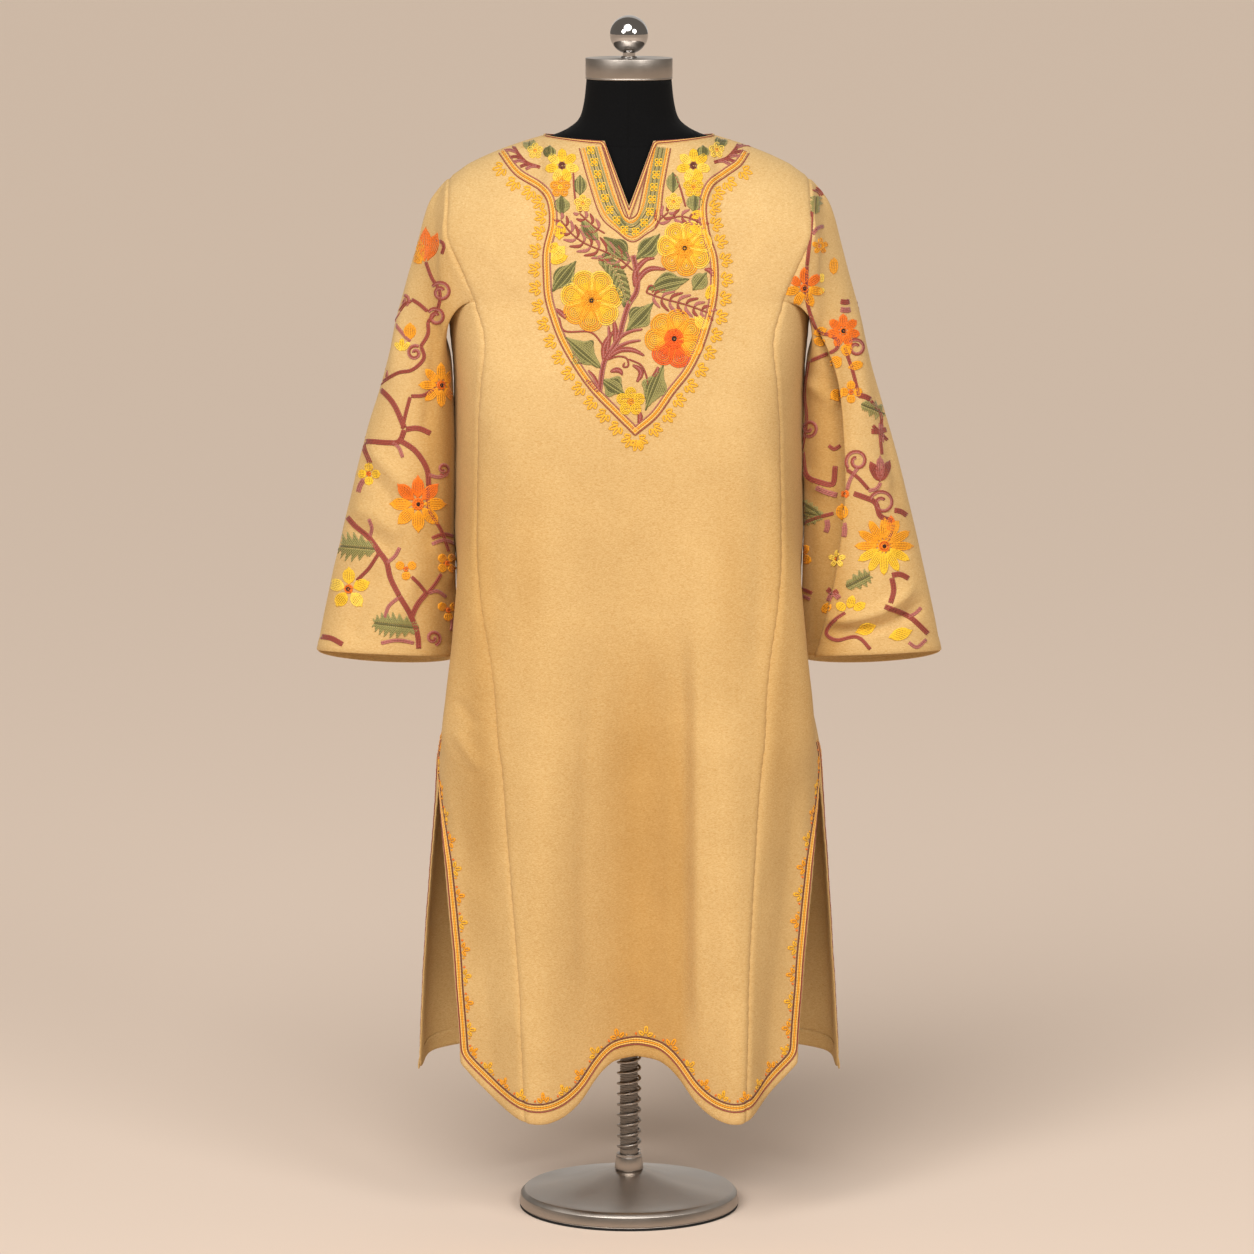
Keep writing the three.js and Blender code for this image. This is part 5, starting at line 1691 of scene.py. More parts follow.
# The sleeves' charts, counted in the photograph's pixels: strokes of stem, single petals and leaves, and
# whole flowers. The left sleeve's chart also serves the backs of both sleeves.
SLEEVE_DEPTH_Y = -60
STROKES = {
    "left": [
        ("brick", 1, [(425, 262), (431, 278), (439, 292), (437, 308), (427, 322)]),
        ("brick", 1, [(420, 346), (423, 358), (412, 369), (398, 372), (384, 380), (376, 388)]),
        ("mauve", 1, [(399, 311), (394, 322), (402, 334), (410, 342)]),
        ("brick", 1, [(411, 397), (424, 396), (436, 388)]),
        ("brick", 1, [(427, 486), (428, 510), (440, 530), (448, 552)]),
        ("mauve", 1, [(398, 597), (388, 606), (384, 618)]), ("brick", 1, [(427, 322), (427, 334), (420, 346)]),
        ("brick", 1, [(411, 300), (404, 304), (399, 311)]), ("brick", 1, [(411, 300), (419, 305), (427, 312)]),
        ("brick", 1, [(436, 240), (443, 245), (441, 254)]),
        ("brick", 2, [(376, 388), (386, 397), (394, 408), (403, 429)]),
        ("brick", 1, [(403, 429), (407, 412), (411, 397)]),
        ("brick", 2, [(403, 429), (398, 440), (388, 441), (365, 440), (362, 446), (369, 464)]),
        ("mauve", 2, [(360, 493), (362, 486), (366, 480)]), ("brick", 2, [(406, 431), (418, 430), (430, 435)]),
        ("mauve", 1, [(391, 442), (398, 448), (402, 458)]),
        ("brick", 2, [(398, 441), (414, 452), (425, 469), (427, 486)]),
        ("mauve", 1, [(427, 475), (438, 478), (448, 475)]), ("brick", 1, [(432, 539), (444, 535), (456, 538)]),
        ("mauve", 1, [(432, 545), (444, 541), (456, 545)]),
        ("brick", 2, [(346, 518), (354, 527), (368, 539), (378, 553), (385, 563), (389, 579), (398, 597)]),
        ("brick", 2, [(398, 597), (407, 612), (412, 623), (416, 636), (417, 649)]),
        ("mauve", 1, [(368, 519), (371, 528), (369, 537)]), ("mauve", 1, [(399, 547), (394, 556), (385, 563)]),
        ("brick", 1, [(378, 553), (368, 568), (356, 580)]), ("brick", 2, [(412, 620), (419, 605), (428, 594)]),
        ("brick", 1, [(428, 594), (420, 584), (412, 576)]), ("brick", 1, [(428, 594), (436, 584), (442, 574)]),
        ("mauve", 1, [(428, 594), (437, 592), (446, 598)]), ("mauve", 2, [(450, 618), (451, 624), (450, 631)]),
        ("mauve", 1, [(381, 644), (398, 641), (414, 644)]), ("brick", 2, [(320, 638), (331, 640), (342, 646)]),
    ],
    "right": [
        ("brick", 1, [(806, 266), (806, 300), (816, 330), (830, 336)]),
        ("brick", 1, [(808, 361), (804, 392), (806, 420), (801, 452)]),
        ("brick", 1, [(843, 346), (852, 372), (858, 397)]),
        ("brick", 1, [(870, 401), (880, 416), (879, 433), (881, 455)]),
        ("brick", 1, [(892, 523), (891, 530), (887, 540)]), ("mauve", 1, [(858, 466), (850, 478), (846, 490)]),
        ("brick", 2, [(812, 190), (817, 192), (820, 197)]), ("mauve", 1, [(813, 235), (818, 229), (824, 227)]),
        ("brick", 1, [(811, 211), (809, 240), (806, 266)]),
        ("brick", 1, [(830, 336), (837, 341), (835, 349), (822, 355), (808, 361)]),
        ("brick", 1, [(828, 446), (834, 450), (841, 446)]),
        ("brick", 2, [(801, 452), (805, 476), (820, 484), (834, 485), (837, 466)]),
        ("mauve", 2, [(815, 489), (826, 494), (837, 497)]), ("brick", 1, [(793, 530), (813, 520), (834, 514)]),
        ("mauve", 2, [(825, 520), (826, 526), (824, 532)]), ("brick", 1, [(792, 588), (802, 590), (812, 594)]),
        ("mauve", 1, [(790, 594), (800, 596), (810, 600)]), ("brick", 2, [(840, 303), (845, 304), (850, 303)]),
        ("mauve", 2, [(840, 311), (846, 312), (851, 311)]), ("brick", 2, [(858, 397), (864, 398), (870, 401)]),
        ("brick", 2, [(871, 433), (879, 433), (887, 431)]), ("mauve", 2, [(879, 423), (879, 433), (880, 443)]),
        ("brick", 1, [(872, 426), (879, 433), (887, 441)]), ("brick", 1, [(844, 469), (857, 478), (868, 490)]),
        ("mauve", 1, [(880, 482), (876, 488), (868, 490)]),
        ("brick", 2, [(853, 495), (864, 499), (874, 504), (879, 517), (892, 523)]),
        ("brick", 2, [(894, 512), (900, 513), (906, 517)]), ("mauve", 2, [(842, 523), (843, 530), (842, 537)]),
        ("brick", 2, [(892, 577), (900, 576), (908, 580)]), ("brick", 2, [(890, 578), (892, 590), (889, 603)]),
        ("brick", 2, [(826, 590), (833, 595), (839, 592)]), ("mauve", 2, [(830, 602), (833, 595), (838, 600)]),
        ("brick", 1, [(845, 612), (836, 618), (828, 626), (826, 635), (837, 641), (857, 638), (870, 650)]),
        ("brick", 2, [(884, 608), (908, 618), (927, 635)]), ("mauve", 1, [(908, 618), (916, 614), (922, 608)]),
        ("mauve", 1, [(908, 643), (917, 648), (927, 640)]),
    ],
}
PETALS = {
    "left": [
        ((424, 262), (414, 235), 11, "amber"), ((425, 262), (426, 226), 12, "orange"),
        ((427, 262), (438, 232), 11, "orange"), ((422, 264), (411, 252), 9, "amber"),
        ((410, 341), (410, 322), 12, "amber"), ((402, 351), (395, 342), 5, "pale_yellow"),
        ((402, 351), (402, 338), 5, "yellow"), ((402, 351), (410, 342), 5, "pale_yellow"),
    ],
    "right": [
        ((833, 275), (834, 257), 10, "amber"), ((821, 283), (822, 273), 6, "pale_yellow"),
        ((818, 294), (824, 288), 6, "pale_yellow"), ((813, 334), (827, 329), 9, "amber"),
        ((813, 339), (826, 344), 9, "amber"), ((830, 366), (842, 358), 11, "amber"),
        ((830, 399), (843, 391), 11, "amber"), ((840, 350), (854, 347), 9, "amber"),
        ((848, 368), (864, 363), 10, "amber"), ((842, 346), (850, 356), 8, "amber"),
        ((880, 482), (870, 461), 9, "brick"), ((880, 482), (880, 455), 10, "mauve"),
        ((880, 482), (890, 460), 9, "brick"), ((890, 534), (884, 518), 7, "amber"),
        ((890, 534), (891, 515), 7, "orange"), ((890, 534), (898, 520), 7, "amber"),
        ((842, 521), (842, 503), 11, "amber"), ((846, 610), (836, 603), 8, "yellow"),
        ((849, 609), (853, 595), 8, "yellow"), ((853, 610), (866, 603), 8, "yellow"),
        ((822, 613), (831, 603), 8, "amber"), ((855, 633), (877, 625), 11, "yellow"),
        ((888, 638), (913, 630), 11, "yellow"),
    ],
}
LEAVES = {
    "left": [((376, 549), (340, 546), 28), ((419, 628), (374, 623), 24)],
    "right": [
        ((815, 214), (816, 196), 12), ((823, 516), (799, 500), 9), ((823, 516), (797, 511), 9),
        ((823, 516), (803, 523), 9), ((861, 404), (885, 414), 16), ((846, 587), (870, 575), 17),
    ],
}
SLEEVE_FLOWERS = {
    "left": [
        ((441, 385), 27, 8, ("amber",), 90, 360), ((369, 474), 14, 4, ("yellow",), 90, 360),
        ((418, 504), 35, 8, (*["orange"] * 2, *["amber"] * 5, "orange"), 90, 360),
        ((349, 589), 27, 5, ("yellow", "pale_yellow"), 90, 360), ((406, 569), 14, 3, ("amber",), 30, 240),
        ((447, 563), 14, 4, ("amber",), 45, 360), ((448, 610), 14, 3, ("amber",), 30, 240),
    ],
    "right": [
        ((820, 246), 10, 5, ("amber",), 90, 360),
        ((804, 288), 25, 7, (*["orange"] * 2, *["amber"] * 4, "orange"), 90, 360),
        ((797, 556), 19, 6, ("amber",), 100, 360), ((843, 331), 21, 7, ("orange",), 90, 360),
        ((851, 392), 14, 4, ("amber",), 90, 360), ((845, 494), 5, 4, ("orange",), 45, 360),
        ((884, 546), 36, 12, (*["amber"] * 4, *["yellow"] * 5, *["amber"] * 3), 90, 360),
        ((837, 559), 11, 5, ("pale_yellow",), 90, 360),
    ],
}


# Curled ends of stems: middle, radius, where the curl starts in degrees, and which way it winds.
CURLS = {
    "left": [
        ((441, 292), 8, 150, -1), ((436, 317), 7, 150, -1), ((415, 353), 7, 60, 1), ((380, 374), 7, -30, 1),
        ((443, 469), 6, -120, 1), ((433, 638), 7, -70, 1), ((403, 300), 6, -60, 1),
    ],
    "right": [
        ((809, 428), 8, 250, 1), ((857, 461), 9, 220, -1), ((882, 503), 10, 170, -1), ((856, 348), 7, 150, -1),
    ],
}


# How a curl winds: its turn in degrees, its reach against its radius, how much it closes in, its rows' gap.
CURL = {"turn": 480, "reach": 1.2, "closes": 0.74, "gap": 1.7}


def curl(chart, centre, radius, start, way):
    """A stem's end wound into itself."""
    t = np.linspace(0, 1, 18)
    angle = math.radians(start) + way * t * math.radians(CURL["turn"])
    reach = CURL["reach"] * radius * (1 - CURL["closes"] * t)
    line = chart.at(*zip(centre[0] + reach * np.cos(angle), centre[1] - reach * np.sin(angle)))
    chart.row(line, "mauve", STEM["width"])
    chart.row(both_ways(line, CURL["gap"]), "brick", STEM["width"])


def sleeve_vines(chart, name):
    """Works a sleeve's chart on the side of the sleeve that the chart faces."""
    for colour, rows, points in STROKES[name]:
        line = smooth_path(chart.at(*points), 4.0)
        for k in range(rows + 1):
            chart.row(both_ways(line, STEM["gap"] * k), colour, STEM["width"])
    for spiral in CURLS[name]:
        curl(chart, *spiral)
    for base, tip, width in LEAVES[name]:
        chart.notched(*chart.at(base, tip), width)
    for base, tip, width, colour in PETALS[name]:
        chart.leaf(*chart.at(base, tip), width, (colour,))
    for centre, radius, petals, colours, start, arc in SLEEVE_FLOWERS[name]:
        middle = chart.at(centre)[0]
        heart = "black" if radius > 20 else "orange"
        chart.daisy(middle, radius, petals, colours, start, heart, arc)
        if radius > 30:
            for share in (0.1, 0.19):
                chart.knot(middle, radius * share, colours[0], 1.2)
            chart.knot(middle, 1.5, "black", 2.2)


def cuff_hem(hand):
    """The turned-up hem inside a cuff."""
    outer, normals = sleeve_surface(hand)
    run = lengths(outer, 0)
    first = int(np.argmax((run[-1:] - run).mean(1) < HEM_WIDTH + 3))
    return (outer - normals * (CLOTH + 0.2))[first:-1], normals[first:-1]


# Settings


class PheranClothSettings(PropertyGroup):
    colour: FloatVectorProperty(
        name="Cloth colour", description="Colour of the wool's raised nap", subtype="COLOR",
        size=3, default=srgb(219, 187, 133),
    )
    shade: FloatVectorProperty(
        name="Cloth shade", description="Colour down between the fibres", subtype="COLOR",
        size=3, default=srgb(196, 156, 95),
    )
    thickness: FloatProperty(
        name="Thickness", description="Thickness of the woollen cloth", default=CLOTH * MM, unit="LENGTH",
    )
    threads_per_metre: FloatProperty(
        name="Threads per metre", description="Threads of the weave in a metre", default=900.0,
    )
    nap: FloatProperty(
        name="Nap", description="How strongly the nap shows", default=0.5, subtype="FACTOR", min=0, max=1,
    )
    columns: IntProperty(name="Columns", description="Columns of faces across a panel", default=96)


class PheranFormSettings(PropertyGroup):
    jersey: FloatVectorProperty(
        name="Jersey colour", description="Colour of the form's jersey cover", subtype="COLOR",
        size=3, default=(0.0016, 0.0016, 0.0018),
    )
    # The steel's grey is its own; its warm tint is a painted reflection of the warm surroundings.
    steel: FloatVectorProperty(
        name="Steel colour", description="Colour of the brushed steel", subtype="COLOR",
        size=3, default=(0.47, 0.42, 0.375),
    )
    chrome: FloatVectorProperty(
        name="Ball colour", description="Colour of the polished ball", subtype="COLOR",
        size=3, default=(0.52, 0.50, 0.485),
    )
    groove: FloatProperty(
        name="Seam depth", description="Depth of the jersey cover's seams", default=0.0009, unit="LENGTH",
    )


class PheranStageSettings(PropertyGroup):
    floor: FloatVectorProperty(
        name="Floor colour", description="Colour of the floor near the stand", subtype="COLOR",
        size=3, default=srgb(226, 207, 191),
    )
    backdrop: FloatVectorProperty(
        name="Backdrop colour", description="Colour of the floor far away and of the surroundings",
        subtype="COLOR", size=3, default=srgb(232, 212, 194),
    )
    far: FloatProperty(
        name="Far", description="Where the floor has the backdrop's colour", default=14.0, unit="LENGTH",
    )
    key: FloatProperty(
        name="Key light", description="Strength of the large light above the front", default=2.3,
    )
    fill: FloatProperty(
        name="Fill light", description="Power of each soft box", default=76.0, unit="POWER",
    )
    back: FloatProperty(
        name="Back light", description="Strength of the large light behind the stand", default=0.4,
    )
    sky: FloatProperty(
        name="Surroundings", description="Strength of the even light all round", default=0.2,
    )


def settings_of(context, name):
    return getattr(context.scene, f"pheran_{name}")


def sewn(context, name, surface, node=None, slot="wool_cloth", thickness=None, ring=False):
    """A piece of the cloth from its outer points and their normals."""
    settings = settings_of(context, "cloth")
    if "wool_cloth" not in MADE:
        MADE["wool_cloth"] = wool_material(settings)
    piece = wall_mesh(name, *surface, thickness or settings.thickness / MM, ring)
    return finish_piece(piece, MADE["wool_cloth"], slot, *([node] if node else []))


class PHERAN_OT_panels(Operator):
    """Make the front and the back panel, with their hung folds"""

    bl_idname = "pheran.panels"
    bl_label = "Panels"

    def execute(self, context):
        for side in SIDES:
            surface = dressed(side, *panel_surface(side, settings_of(context, "cloth").columns))
            piece = sewn(context, f"{side}_panel_cloth", surface, f"{side}_panel")
            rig.sheet(piece, flat=(0.43, 1.19), held="hung", rests_on=["form_torso"], area=0.4)
        return {"FINISHED"}


class PHERAN_OT_gores(Operator):
    """Make the four side gores, open at the slits"""

    bl_idname = "pheran.gores"
    bl_label = "Side gores"

    def execute(self, context):
        share, level = np.meshgrid(np.linspace(0, 1, GORE_COLUMNS), lower_levels())
        for side in SIDES:
            for name, hand in HANDS.items():
                surface = dressed(side, gore(side, hand, share, level), level)
                piece = sewn(context, f"{side}_gore_{name}_cloth", surface, f"{side}_gore_{name}")
                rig.sheet(piece, flat=(0.19, 0.95), held="hung", rests_on=["form_torso"], area=0.11)
        return {"FINISHED"}


class PHERAN_OT_sleeves(Operator):
    """Make both wide sleeves, the right one folded over itself in front"""

    bl_idname = "pheran.sleeves"
    bl_label = "Sleeves"

    def execute(self, context):
        for name, hand in HANDS.items():
            piece = sewn(context, f"sleeve_{name}_cloth", sleeve_surface(hand), f"sleeve_{name}", ring=True)
            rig.sheet(piece, flat=(0.46, 0.62), held="hung", rests_on=["form_torso"], area=0.2)
        return {"FINISHED"}


class PHERAN_OT_hems(Operator):
    """Make the neck binding and the turned-up hems of the flaps and cuffs"""

    bl_idname = "pheran.hems"
    bl_label = "Binding and hems"

    def execute(self, context):
        for side in SIDES:
            node = f"neck_binding_{side}"
            binding = sewn(context, f"{node}_cloth", binding_surface(side), node, "neck_binding", BINDING["thick"])
            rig.sheet(binding, held="stretched", rests_on=[f"{side}_panel_cloth"], **BINDING_CUT[side])
            hem = sewn(context, f"{side}_hem", hem_strip(side), thickness=HEM_THICK)
            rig.sheet(hem, flat=HEM_CUT[side], held="hung", rests_on=[f"{side}_panel_cloth"])
        for name, hand in HANDS.items():
            hem = sewn(context, f"sleeve_{name}_hem", cuff_hem(hand), thickness=HEM_THICK, ring=True)
            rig.sheet(hem, flat=CUFF_CUT[name], held="hung", rests_on=[f"sleeve_{name}_cloth"])
        return {"FINISHED"}


class PHERAN_OT_borders(Operator):
    """Work the borders round both flaps and the rows on the neck binding"""

    bl_idname = "pheran.borders"
    bl_label = "Borders"

    def execute(self, context):
        for side in SIDES:
            names = [f"{side}_panel_cloth", f"{side}_gore_left_cloth", f"{side}_gore_right_cloth"]
            work = Threadwork(f"{side}_border", names, SEEDS["border"])
            hem_border(work, side)
            work.made()
            rows = Threadwork(f"neck_rows_{side}", [f"neck_binding_{side}_cloth"], SEEDS["neck"])
            for share, colour in ((0.22, "brick"), (0.5, "band"), (0.78, "brick")):
                places, normals = neck_line(side, share)
                chart = EdgeChart(rows, places, normals)
                chart.row([(0, 0), (chart.run[-1] / 2, 0), (chart.run[-1], 0)], colour, 0.7, 0.6)
            rows.made()
        return {"FINISHED"}


class PHERAN_OT_vines(Operator):
    """Work the flowers and stems on the fronts and backs of the sleeves"""

    bl_idname = "pheran.vines"
    bl_label = "Sleeve embroidery"

    def execute(self, context):
        for name, hand in HANDS.items():
            cloth = [f"sleeve_{name}_cloth"]
            work = Threadwork(f"sleeve_{name}_embroidery", cloth, SEEDS["sleeve"] + hand)
            sleeve_vines(Chart(work, SLEEVE_DEPTH_Y), name)
            sleeve_vines(Chart(work, SLEEVE_DEPTH_Y, behind=True, mirrored=hand > 0), "left")
            work.made()
        return {"FINISHED"}


class PHERAN_OT_yoke(Operator):
    """Work the framed bouquet and the neck band on the chest"""

    bl_idname = "pheran.yoke"
    bl_label = "Yoke embroidery"

    def execute(self, context):
        names = ("front_panel_cloth", "front_gore_left_cloth", "front_gore_right_cloth")
        work = Threadwork("yoke_embroidery", names, SEEDS["yoke"])
        yoke(Chart(work, YOKE_DEPTH_Y))
        work.made()
        return {"FINISHED"}


def copied_node(name, node):
    """A copy of a frame node as one smooth piece, with its loose corners merged."""
    piece = bpy.data.objects.new(name, frame["nodes"][node].data.copy())
    bpy.context.scene.collection.objects.link(piece)
    shape = bmesh.new()
    shape.from_mesh(piece.data)
    bmesh.ops.remove_doubles(shape, verts=shape.verts, dist=0.00002)
    bmesh.ops.dissolve_limit(shape, angle_limit=0.0005, verts=shape.verts, edges=shape.edges)
    shape.to_mesh(piece.data)
    shape.free()
    return piece


def applied(piece, kind, **values):
    """Adds a modifier to a piece and applies it."""
    modifier = piece.modifiers.new(kind.lower(), kind)
    for name, value in values.items():
        setattr(modifier, name, value)
    only(piece)
    bpy.ops.object.modifier_apply(modifier=modifier.name)


def only(piece):
    """Makes a piece the only one selected."""
    bpy.ops.object.select_all(action="DESELECT")
    bpy.context.view_layer.objects.active = piece
    piece.select_set(True)


class PHERAN_OT_form(Operator):
    """Make the dress form's jersey-covered body with its sewn seams"""

    bl_idname = "pheran.form"
    bl_label = "Dress form"

    def execute(self, context):
        settings = settings_of(context, "form")
        piece = copied_node("form_torso_jersey", "form_torso")
        heights = [vertex.co.z for vertex in piece.data.vertices]
        rim = max(heights) - 0.001
        kept = piece.data.attributes.new("crease_edge", "FLOAT", "EDGE")
        for edge in piece.data.edges:
            kept.data[edge.index].value = float(min(heights[k] for k in edge.vertices) > rim)
        applied(piece, "SUBSURF", levels=2, render_levels=2)
        shaded(piece)
        finish_piece(piece, jersey_material(settings.jersey, settings.groove), "form_jersey", "form_torso")
        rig.padded(piece, fill=1.0)
        return {"FINISHED"}


# The metal parts' sizes in millimetres, as radii and heights.
CAP = {"low": 1366.3, "high": 1390.8, "radius": 51.5}
BALL = {"radius": 22.7, "z": 1418.3, "stem": 7.5, "foot": 9.5, "low": 1391.1}
BASE = {"radius": 133.0, "rim": 128.0, "rim_z": 21.0, "cone_z": 44.0, "hub": 17.4, "collar_z": 64.0, "foot_z": 3.1}
POLE = {"radius": 11.0, "bore": 11.3, "low": 47.6, "high": 559.7, "thread_from": 70.0, "thread_to": 255.0}
SPRING = {"wire": 1.6, "radius": 13.35, "pitch": 13.0, "low": 66.0, "turns": 15}
STOP = {"low": 263.9, "high": 279.9, "radius": 17.0}
FLANGE = {"hub": 24, "hub_top": 26, "radius": 45, "lip": 5, "slope": 8, "deep": 22}
# The pole's steel is painted darker for the garment's shade: its colour's share, and its roughness.
SHADED_POLE = {"share": 0.62, "roughness": 0.4}


def turned_piece(name, profile, steps, edge):
    """A piece spun about the upright axis from radius and height pairs, with its edges rounded."""
    bpy.ops.object.select_all(action="DESELECT")
    bpy.ops.mesh.primitive_plane_add(size=0.002)
    piece = bpy.context.object
    piece.name = name
    bpy.ops.object.mode_set(mode="EDIT")
    bpy.ops.mesh.select_mode(type="VERT")
    bpy.ops.mesh.select_all(action="SELECT")
    bpy.ops.mesh.merge(type="CENTER")
    places = np.array(profile) * MM
    bpy.ops.transform.translate(value=(places[0, 0], 0, places[0, 1]))
    for across, up in np.diff(places, axis=0):
        bpy.ops.mesh.extrude_region_move(TRANSFORM_OT_translate={"value": (across, 0, up)})
    bpy.ops.mesh.select_all(action="SELECT")
    bpy.ops.mesh.spin(steps=steps, angle=2 * math.pi, center=(0, 0, 0), axis=(0, 0, 1))
    tidied()
    if edge:
        applied(
            piece, "BEVEL", width=edge * MM, segments=3, limit_method="ANGLE", angle_limit=math.radians(28),
        )
    return shaded(piece)


def tidied():
    """Closes the seams of the piece in edit mode, turns its faces outward and leaves the mode."""
    bpy.ops.mesh.select_all(action="SELECT")
    bpy.ops.mesh.remove_doubles(threshold=0.00001)
    bpy.ops.mesh.normals_make_consistent(inside=False)
    bpy.ops.object.mode_set(mode="OBJECT")


def shaded(piece):
    only(piece)
    bpy.ops.object.shade_smooth_by_angle(angle=math.radians(38))
    return piece


def ball_profile():
    join = math.asin(BALL["stem"] / BALL["radius"])
    angles = np.linspace(join, math.pi, 25)
    round_part = [(BALL["radius"] * math.sin(a), BALL["z"] - BALL["radius"] * math.cos(a)) for a in angles[:-1]]
    foot, low = BALL["foot"], BALL["low"]
    stem = [(0, low), (foot, low), (foot, low + 1.4), (foot - 0.6, low + 2), (BALL["stem"], low + 2)]
    return [*stem, *round_part, (0, BALL["z"] + BALL["radius"])]


def base_profile():
    """The shallow cone with a dark groove round its foot, dished between the rim and the hub."""
    radius, rim, rim_z, hub = (BASE[k] for k in ("radius", "rim", "rim_z", "hub"))
    sides = [
        (0, 0), (radius - 1, 0), (radius - 0.2, 0.8), (radius - 0.2, 3), (radius - 1.2, 3.2), (radius - 1.2, 4.2),
        (radius + 0.5, 5), (radius - 1.5, rim_z - 5), (rim + 1, rim_z - 2), (rim - 1.4, rim_z),
    ]
    way = np.linspace(0, 1, 12)[1:]
    dish = [(mix(rim, hub + 1, t), mix(rim_z, BASE["cone_z"], t ** 1.45)) for t in way]
    return [*sides, *dish, (0, BASE["cone_z"])]


def pole_profile():
    """The pole with its screw thread's shallow ribs where the spring goes round it."""
    radius = POLE["radius"]
    ribs = []
    for z in np.arange(POLE["thread_from"], POLE["thread_to"], 3.2):
        ribs += [(radius, z), (radius - 0.7, z + 0.8), (radius - 0.7, z + 1.6), (radius, z + 2.4)]
    ends = [(0, POLE["low"]), (radius, POLE["low"])]
    return [*ends, *ribs, (radius, POLE["high"]), (0, POLE["high"])]


def metal_profiles():
    """Each turned metal part: its node, profile, steps round it and rounding of its edges."""
    hub, bore, cone = BASE["hub"], POLE["bore"], BASE["cone_z"] + SEAM_GAP
    cap, low, stop = CAP["radius"], CAP["low"], STOP["radius"]
    top, plate = BASE["collar_z"], POLE["high"]
    deep = plate - FLANGE["deep"]
    return [
        ("form_neck_cap", [
            (0, low), (cap, low), (cap, low + 1.6), (cap - 0.5, low + 2.1), (cap, low + 2.6), (cap, CAP["high"]),
            (0, CAP["high"]),
        ], 96, 0.7),
        ("form_ball", ball_profile(), 64, 0),
        ("stand_base", base_profile(), 128, 0.35),
        ("stand_collar", [
            (0, cone), (hub - 0.8, cone), (hub - 0.8, cone + 1), (hub, cone + 1.2), (hub - 1.6, top - 3.4),
            (hub - 2.4, top - 3), (hub - 2.4, top), (bore, top), (bore, cone + 3), (0, cone + 3),
        ], 64, 0.4),
        ("stand_pole", pole_profile(), 40, 0),
        ("stand_stop", [
            (bore, STOP["low"]), (stop, STOP["low"]), (stop, STOP["high"]), (bore, STOP["high"]),
            (bore, STOP["low"]),
        ], 48, 0.8),
        ("form_flange", [
            (bore, deep), (FLANGE["hub"], deep), (FLANGE["hub_top"], plate - FLANGE["slope"]),
            (FLANGE["radius"], plate - FLANGE["lip"]), (FLANGE["radius"], plate), (bore, plate), (bore, deep),
        ], 64, 0.8),
    ]


class PHERAN_OT_metal(Operator):
    """Make the cap, the ball and the stand from spun profiles"""

    bl_idname = "pheran.metal"
    bl_label = "Metal parts"

    def execute(self, context):
        settings = settings_of(context, "form")
        MADE["brushed"] = steel_material("brushed_steel", settings.steel, 0.3, 0.25)
        polished = steel_material("polished_steel", settings.chrome, 0.07, 0)
        # Painted shade: the pole is a darker copy of the brushed steel.
        dim = [SHADED_POLE["share"] * v for v in settings.steel]
        shadowed = steel_material("pole_steel", dim, SHADED_POLE["roughness"], 0.25)
        materials = {"form_ball": polished, "stand_pole": shadowed}
        rubber = rubber_material()
        for node, profile, steps, edge in metal_profiles():
            piece = turned_piece(f"{node}_steel", profile, steps, edge)
            slot = "polished_steel" if node == "form_ball" else "brushed_steel"
            finish_piece(piece, materials.get(node, MADE["brushed"]), slot, node)
            if node == "stand_base":
                piece.data.materials.append(rubber)
                for face in piece.data.polygons:
                    face.material_index = int(face.center.z < BASE["foot_z"] * MM)
        return {"FINISHED"}


class PHERAN_OT_spring(Operator):
    """Wind the spring round the pole"""

    bl_idname = "pheran.spring"
    bl_label = "Spring"

    def execute(self, context):
        bpy.ops.object.select_all(action="DESELECT")
        bpy.ops.mesh.primitive_circle_add(
            vertices=10, radius=SPRING["wire"] * MM, rotation=(math.pi / 2, 0, 0),
            location=(SPRING["radius"] * MM, 0, SPRING["low"] * MM),
        )
        piece = context.object
        piece.name = "stand_spring_steel"
        bpy.ops.object.transform_apply(location=True, rotation=True, scale=True)
        applied(
            piece, "SCREW", angle=2 * math.pi, screw_offset=SPRING["pitch"] * MM, iterations=SPRING["turns"],
            steps=28, render_steps=28, axis="Z",
        )
        bpy.ops.object.mode_set(mode="EDIT")
        bpy.ops.mesh.select_all(action="SELECT")
        bpy.ops.mesh.fill_holes(sides=12)
        tidied()
        finish_piece(shaded(piece), MADE["brushed"], "brushed_steel", "stand_spring")
        return {"FINISHED"}


LAMP_COLOUR = (1, 0.985, 0.96)


def lamp(name, kind, place, target_z, power, **values):
    """A lamp aimed at a height on the stand."""
    data = bpy.data.lights.new(name, kind)
    for key, value in {"energy": power, "color": LAMP_COLOUR, **values}.items():
        setattr(data, key, value)
    made = bpy.data.objects.new(name, data)
    made.location = place
    way = Vector((0, 0, target_z)) - made.location
    made.rotation_euler = way.to_track_quat("-Z", "Y").to_euler()
    bpy.context.scene.collection.objects.link(made)


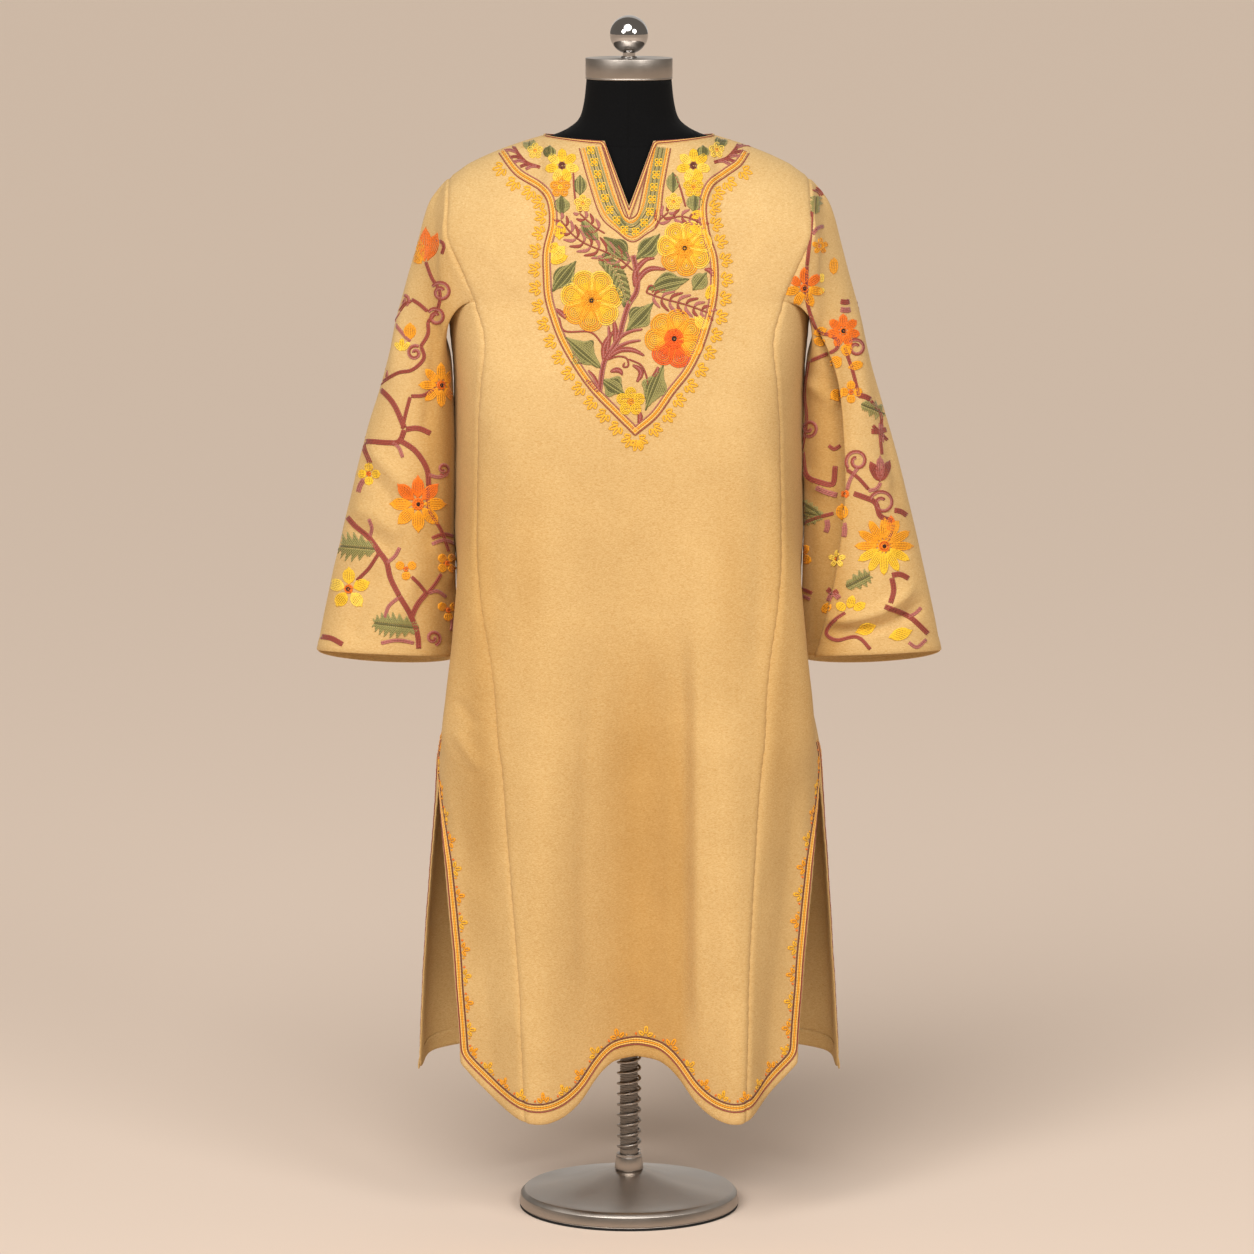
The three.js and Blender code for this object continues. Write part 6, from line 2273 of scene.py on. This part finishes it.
class PHERAN_OT_stage(Operator):
    """Set the floor, the lights and the camera"""

    bl_idname = "pheran.stage"
    bl_label = "Stage"

    def execute(self, context):
        settings = settings_of(context, "stage")
        scene = context.scene
        bpy.ops.object.select_all(action="DESELECT")
        bpy.ops.mesh.primitive_circle_add(vertices=96, radius=70, fill_type="NGON")
        floor = context.object
        floor.name = "studio_floor"
        floor.data.materials.append(floor_material(settings))
        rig.stage(floor)
        world = bpy.data.worlds.new("studio")
        scene.world = world
        world.use_nodes = True
        background = world.node_tree.nodes["Background"]
        background.inputs["Color"].default_value = (1.0, 0.9, 0.79, 1)
        background.inputs["Strength"].default_value = settings.sky
        lamp("key_light", "SUN", (-0.7, -4.0, 4.6), 0.7, settings.key, angle=math.radians(42))
        lamp("back_light", "SUN", (0.5, 4.4, 2.6), 0.7, settings.back, angle=math.radians(60))
        for name, hand in HANDS.items():
            place = (hand * 2.5, -3.6, 3.0)
            lamp(f"soft_box_{name}", "AREA", place, 0.9, settings.fill, shape="DISK", size=1.8)
        camera = bpy.data.objects.new("camera", bpy.data.cameras.new("camera"))
        camera.location = [CAMERA[k] * MM for k in ("x", "y", "z")]
        camera.rotation_euler = (math.pi / 2 - CAMERA["down"], 0, 0)
        camera.data.lens = CAMERA["lens"]
        camera.data.sensor_width = CAMERA["sensor"]
        camera.data.clip_end = 200
        scene.collection.objects.link(camera)
        scene.camera = camera
        scene.view_settings.view_transform = "Standard"
        return {"FINISHED"}


class PHERAN_PT_sidebar(Panel):
    """Lists the pheran's pieces in the 3D view's sidebar"""

    bl_idname = "PHERAN_PT_sidebar"
    bl_label = "Pheran"
    bl_space_type = "VIEW_3D"
    bl_region_type = "UI"
    bl_category = "Pheran"

    def draw(self, context):
        for operator in OPERATORS:
            self.layout.operator(operator.bl_idname)
        for name in SETTINGS:
            box = self.layout.box()
            group = settings_of(context, name)
            for key in group.__annotations__:
                box.prop(group, key)


OPERATORS = (
    PHERAN_OT_panels,
    PHERAN_OT_gores,
    PHERAN_OT_sleeves,
    PHERAN_OT_hems,
    PHERAN_OT_yoke,
    PHERAN_OT_borders,
    PHERAN_OT_vines,
    PHERAN_OT_form,
    PHERAN_OT_metal,
    PHERAN_OT_spring,
    PHERAN_OT_stage,
)
SETTINGS = {"cloth": PheranClothSettings, "form": PheranFormSettings, "stage": PheranStageSettings}


def register():
    for cls in (*SETTINGS.values(), *OPERATORS, PHERAN_PT_sidebar):
        bpy.utils.register_class(cls)
    for name, group in SETTINGS.items():
        setattr(bpy.types.Scene, f"pheran_{name}", PointerProperty(type=group))


def unregister():
    for name in SETTINGS:
        delattr(bpy.types.Scene, f"pheran_{name}")
    for cls in reversed((*SETTINGS.values(), *OPERATORS, PHERAN_PT_sidebar)):
        bpy.utils.unregister_class(cls)


def main():
    register()
    cad_box = [list(corner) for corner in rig.bounds()]
    bpy.ops.pheran.panels()
    bpy.ops.pheran.gores()
    bpy.ops.pheran.sleeves()
    bpy.ops.pheran.hems()
    bpy.ops.pheran.yoke()
    bpy.ops.pheran.borders()
    bpy.ops.pheran.vines()
    bpy.ops.pheran.form()
    bpy.ops.pheran.metal()
    bpy.ops.pheran.spring()
    bpy.ops.pheran.stage()
    sizes = {"cad": cad_box, "visual": [list(corner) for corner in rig.bounds()]}
    with open("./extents.json", "w") as file:
        json.dump(sizes, file, indent=1)


if __name__ == "__main__":
    main()
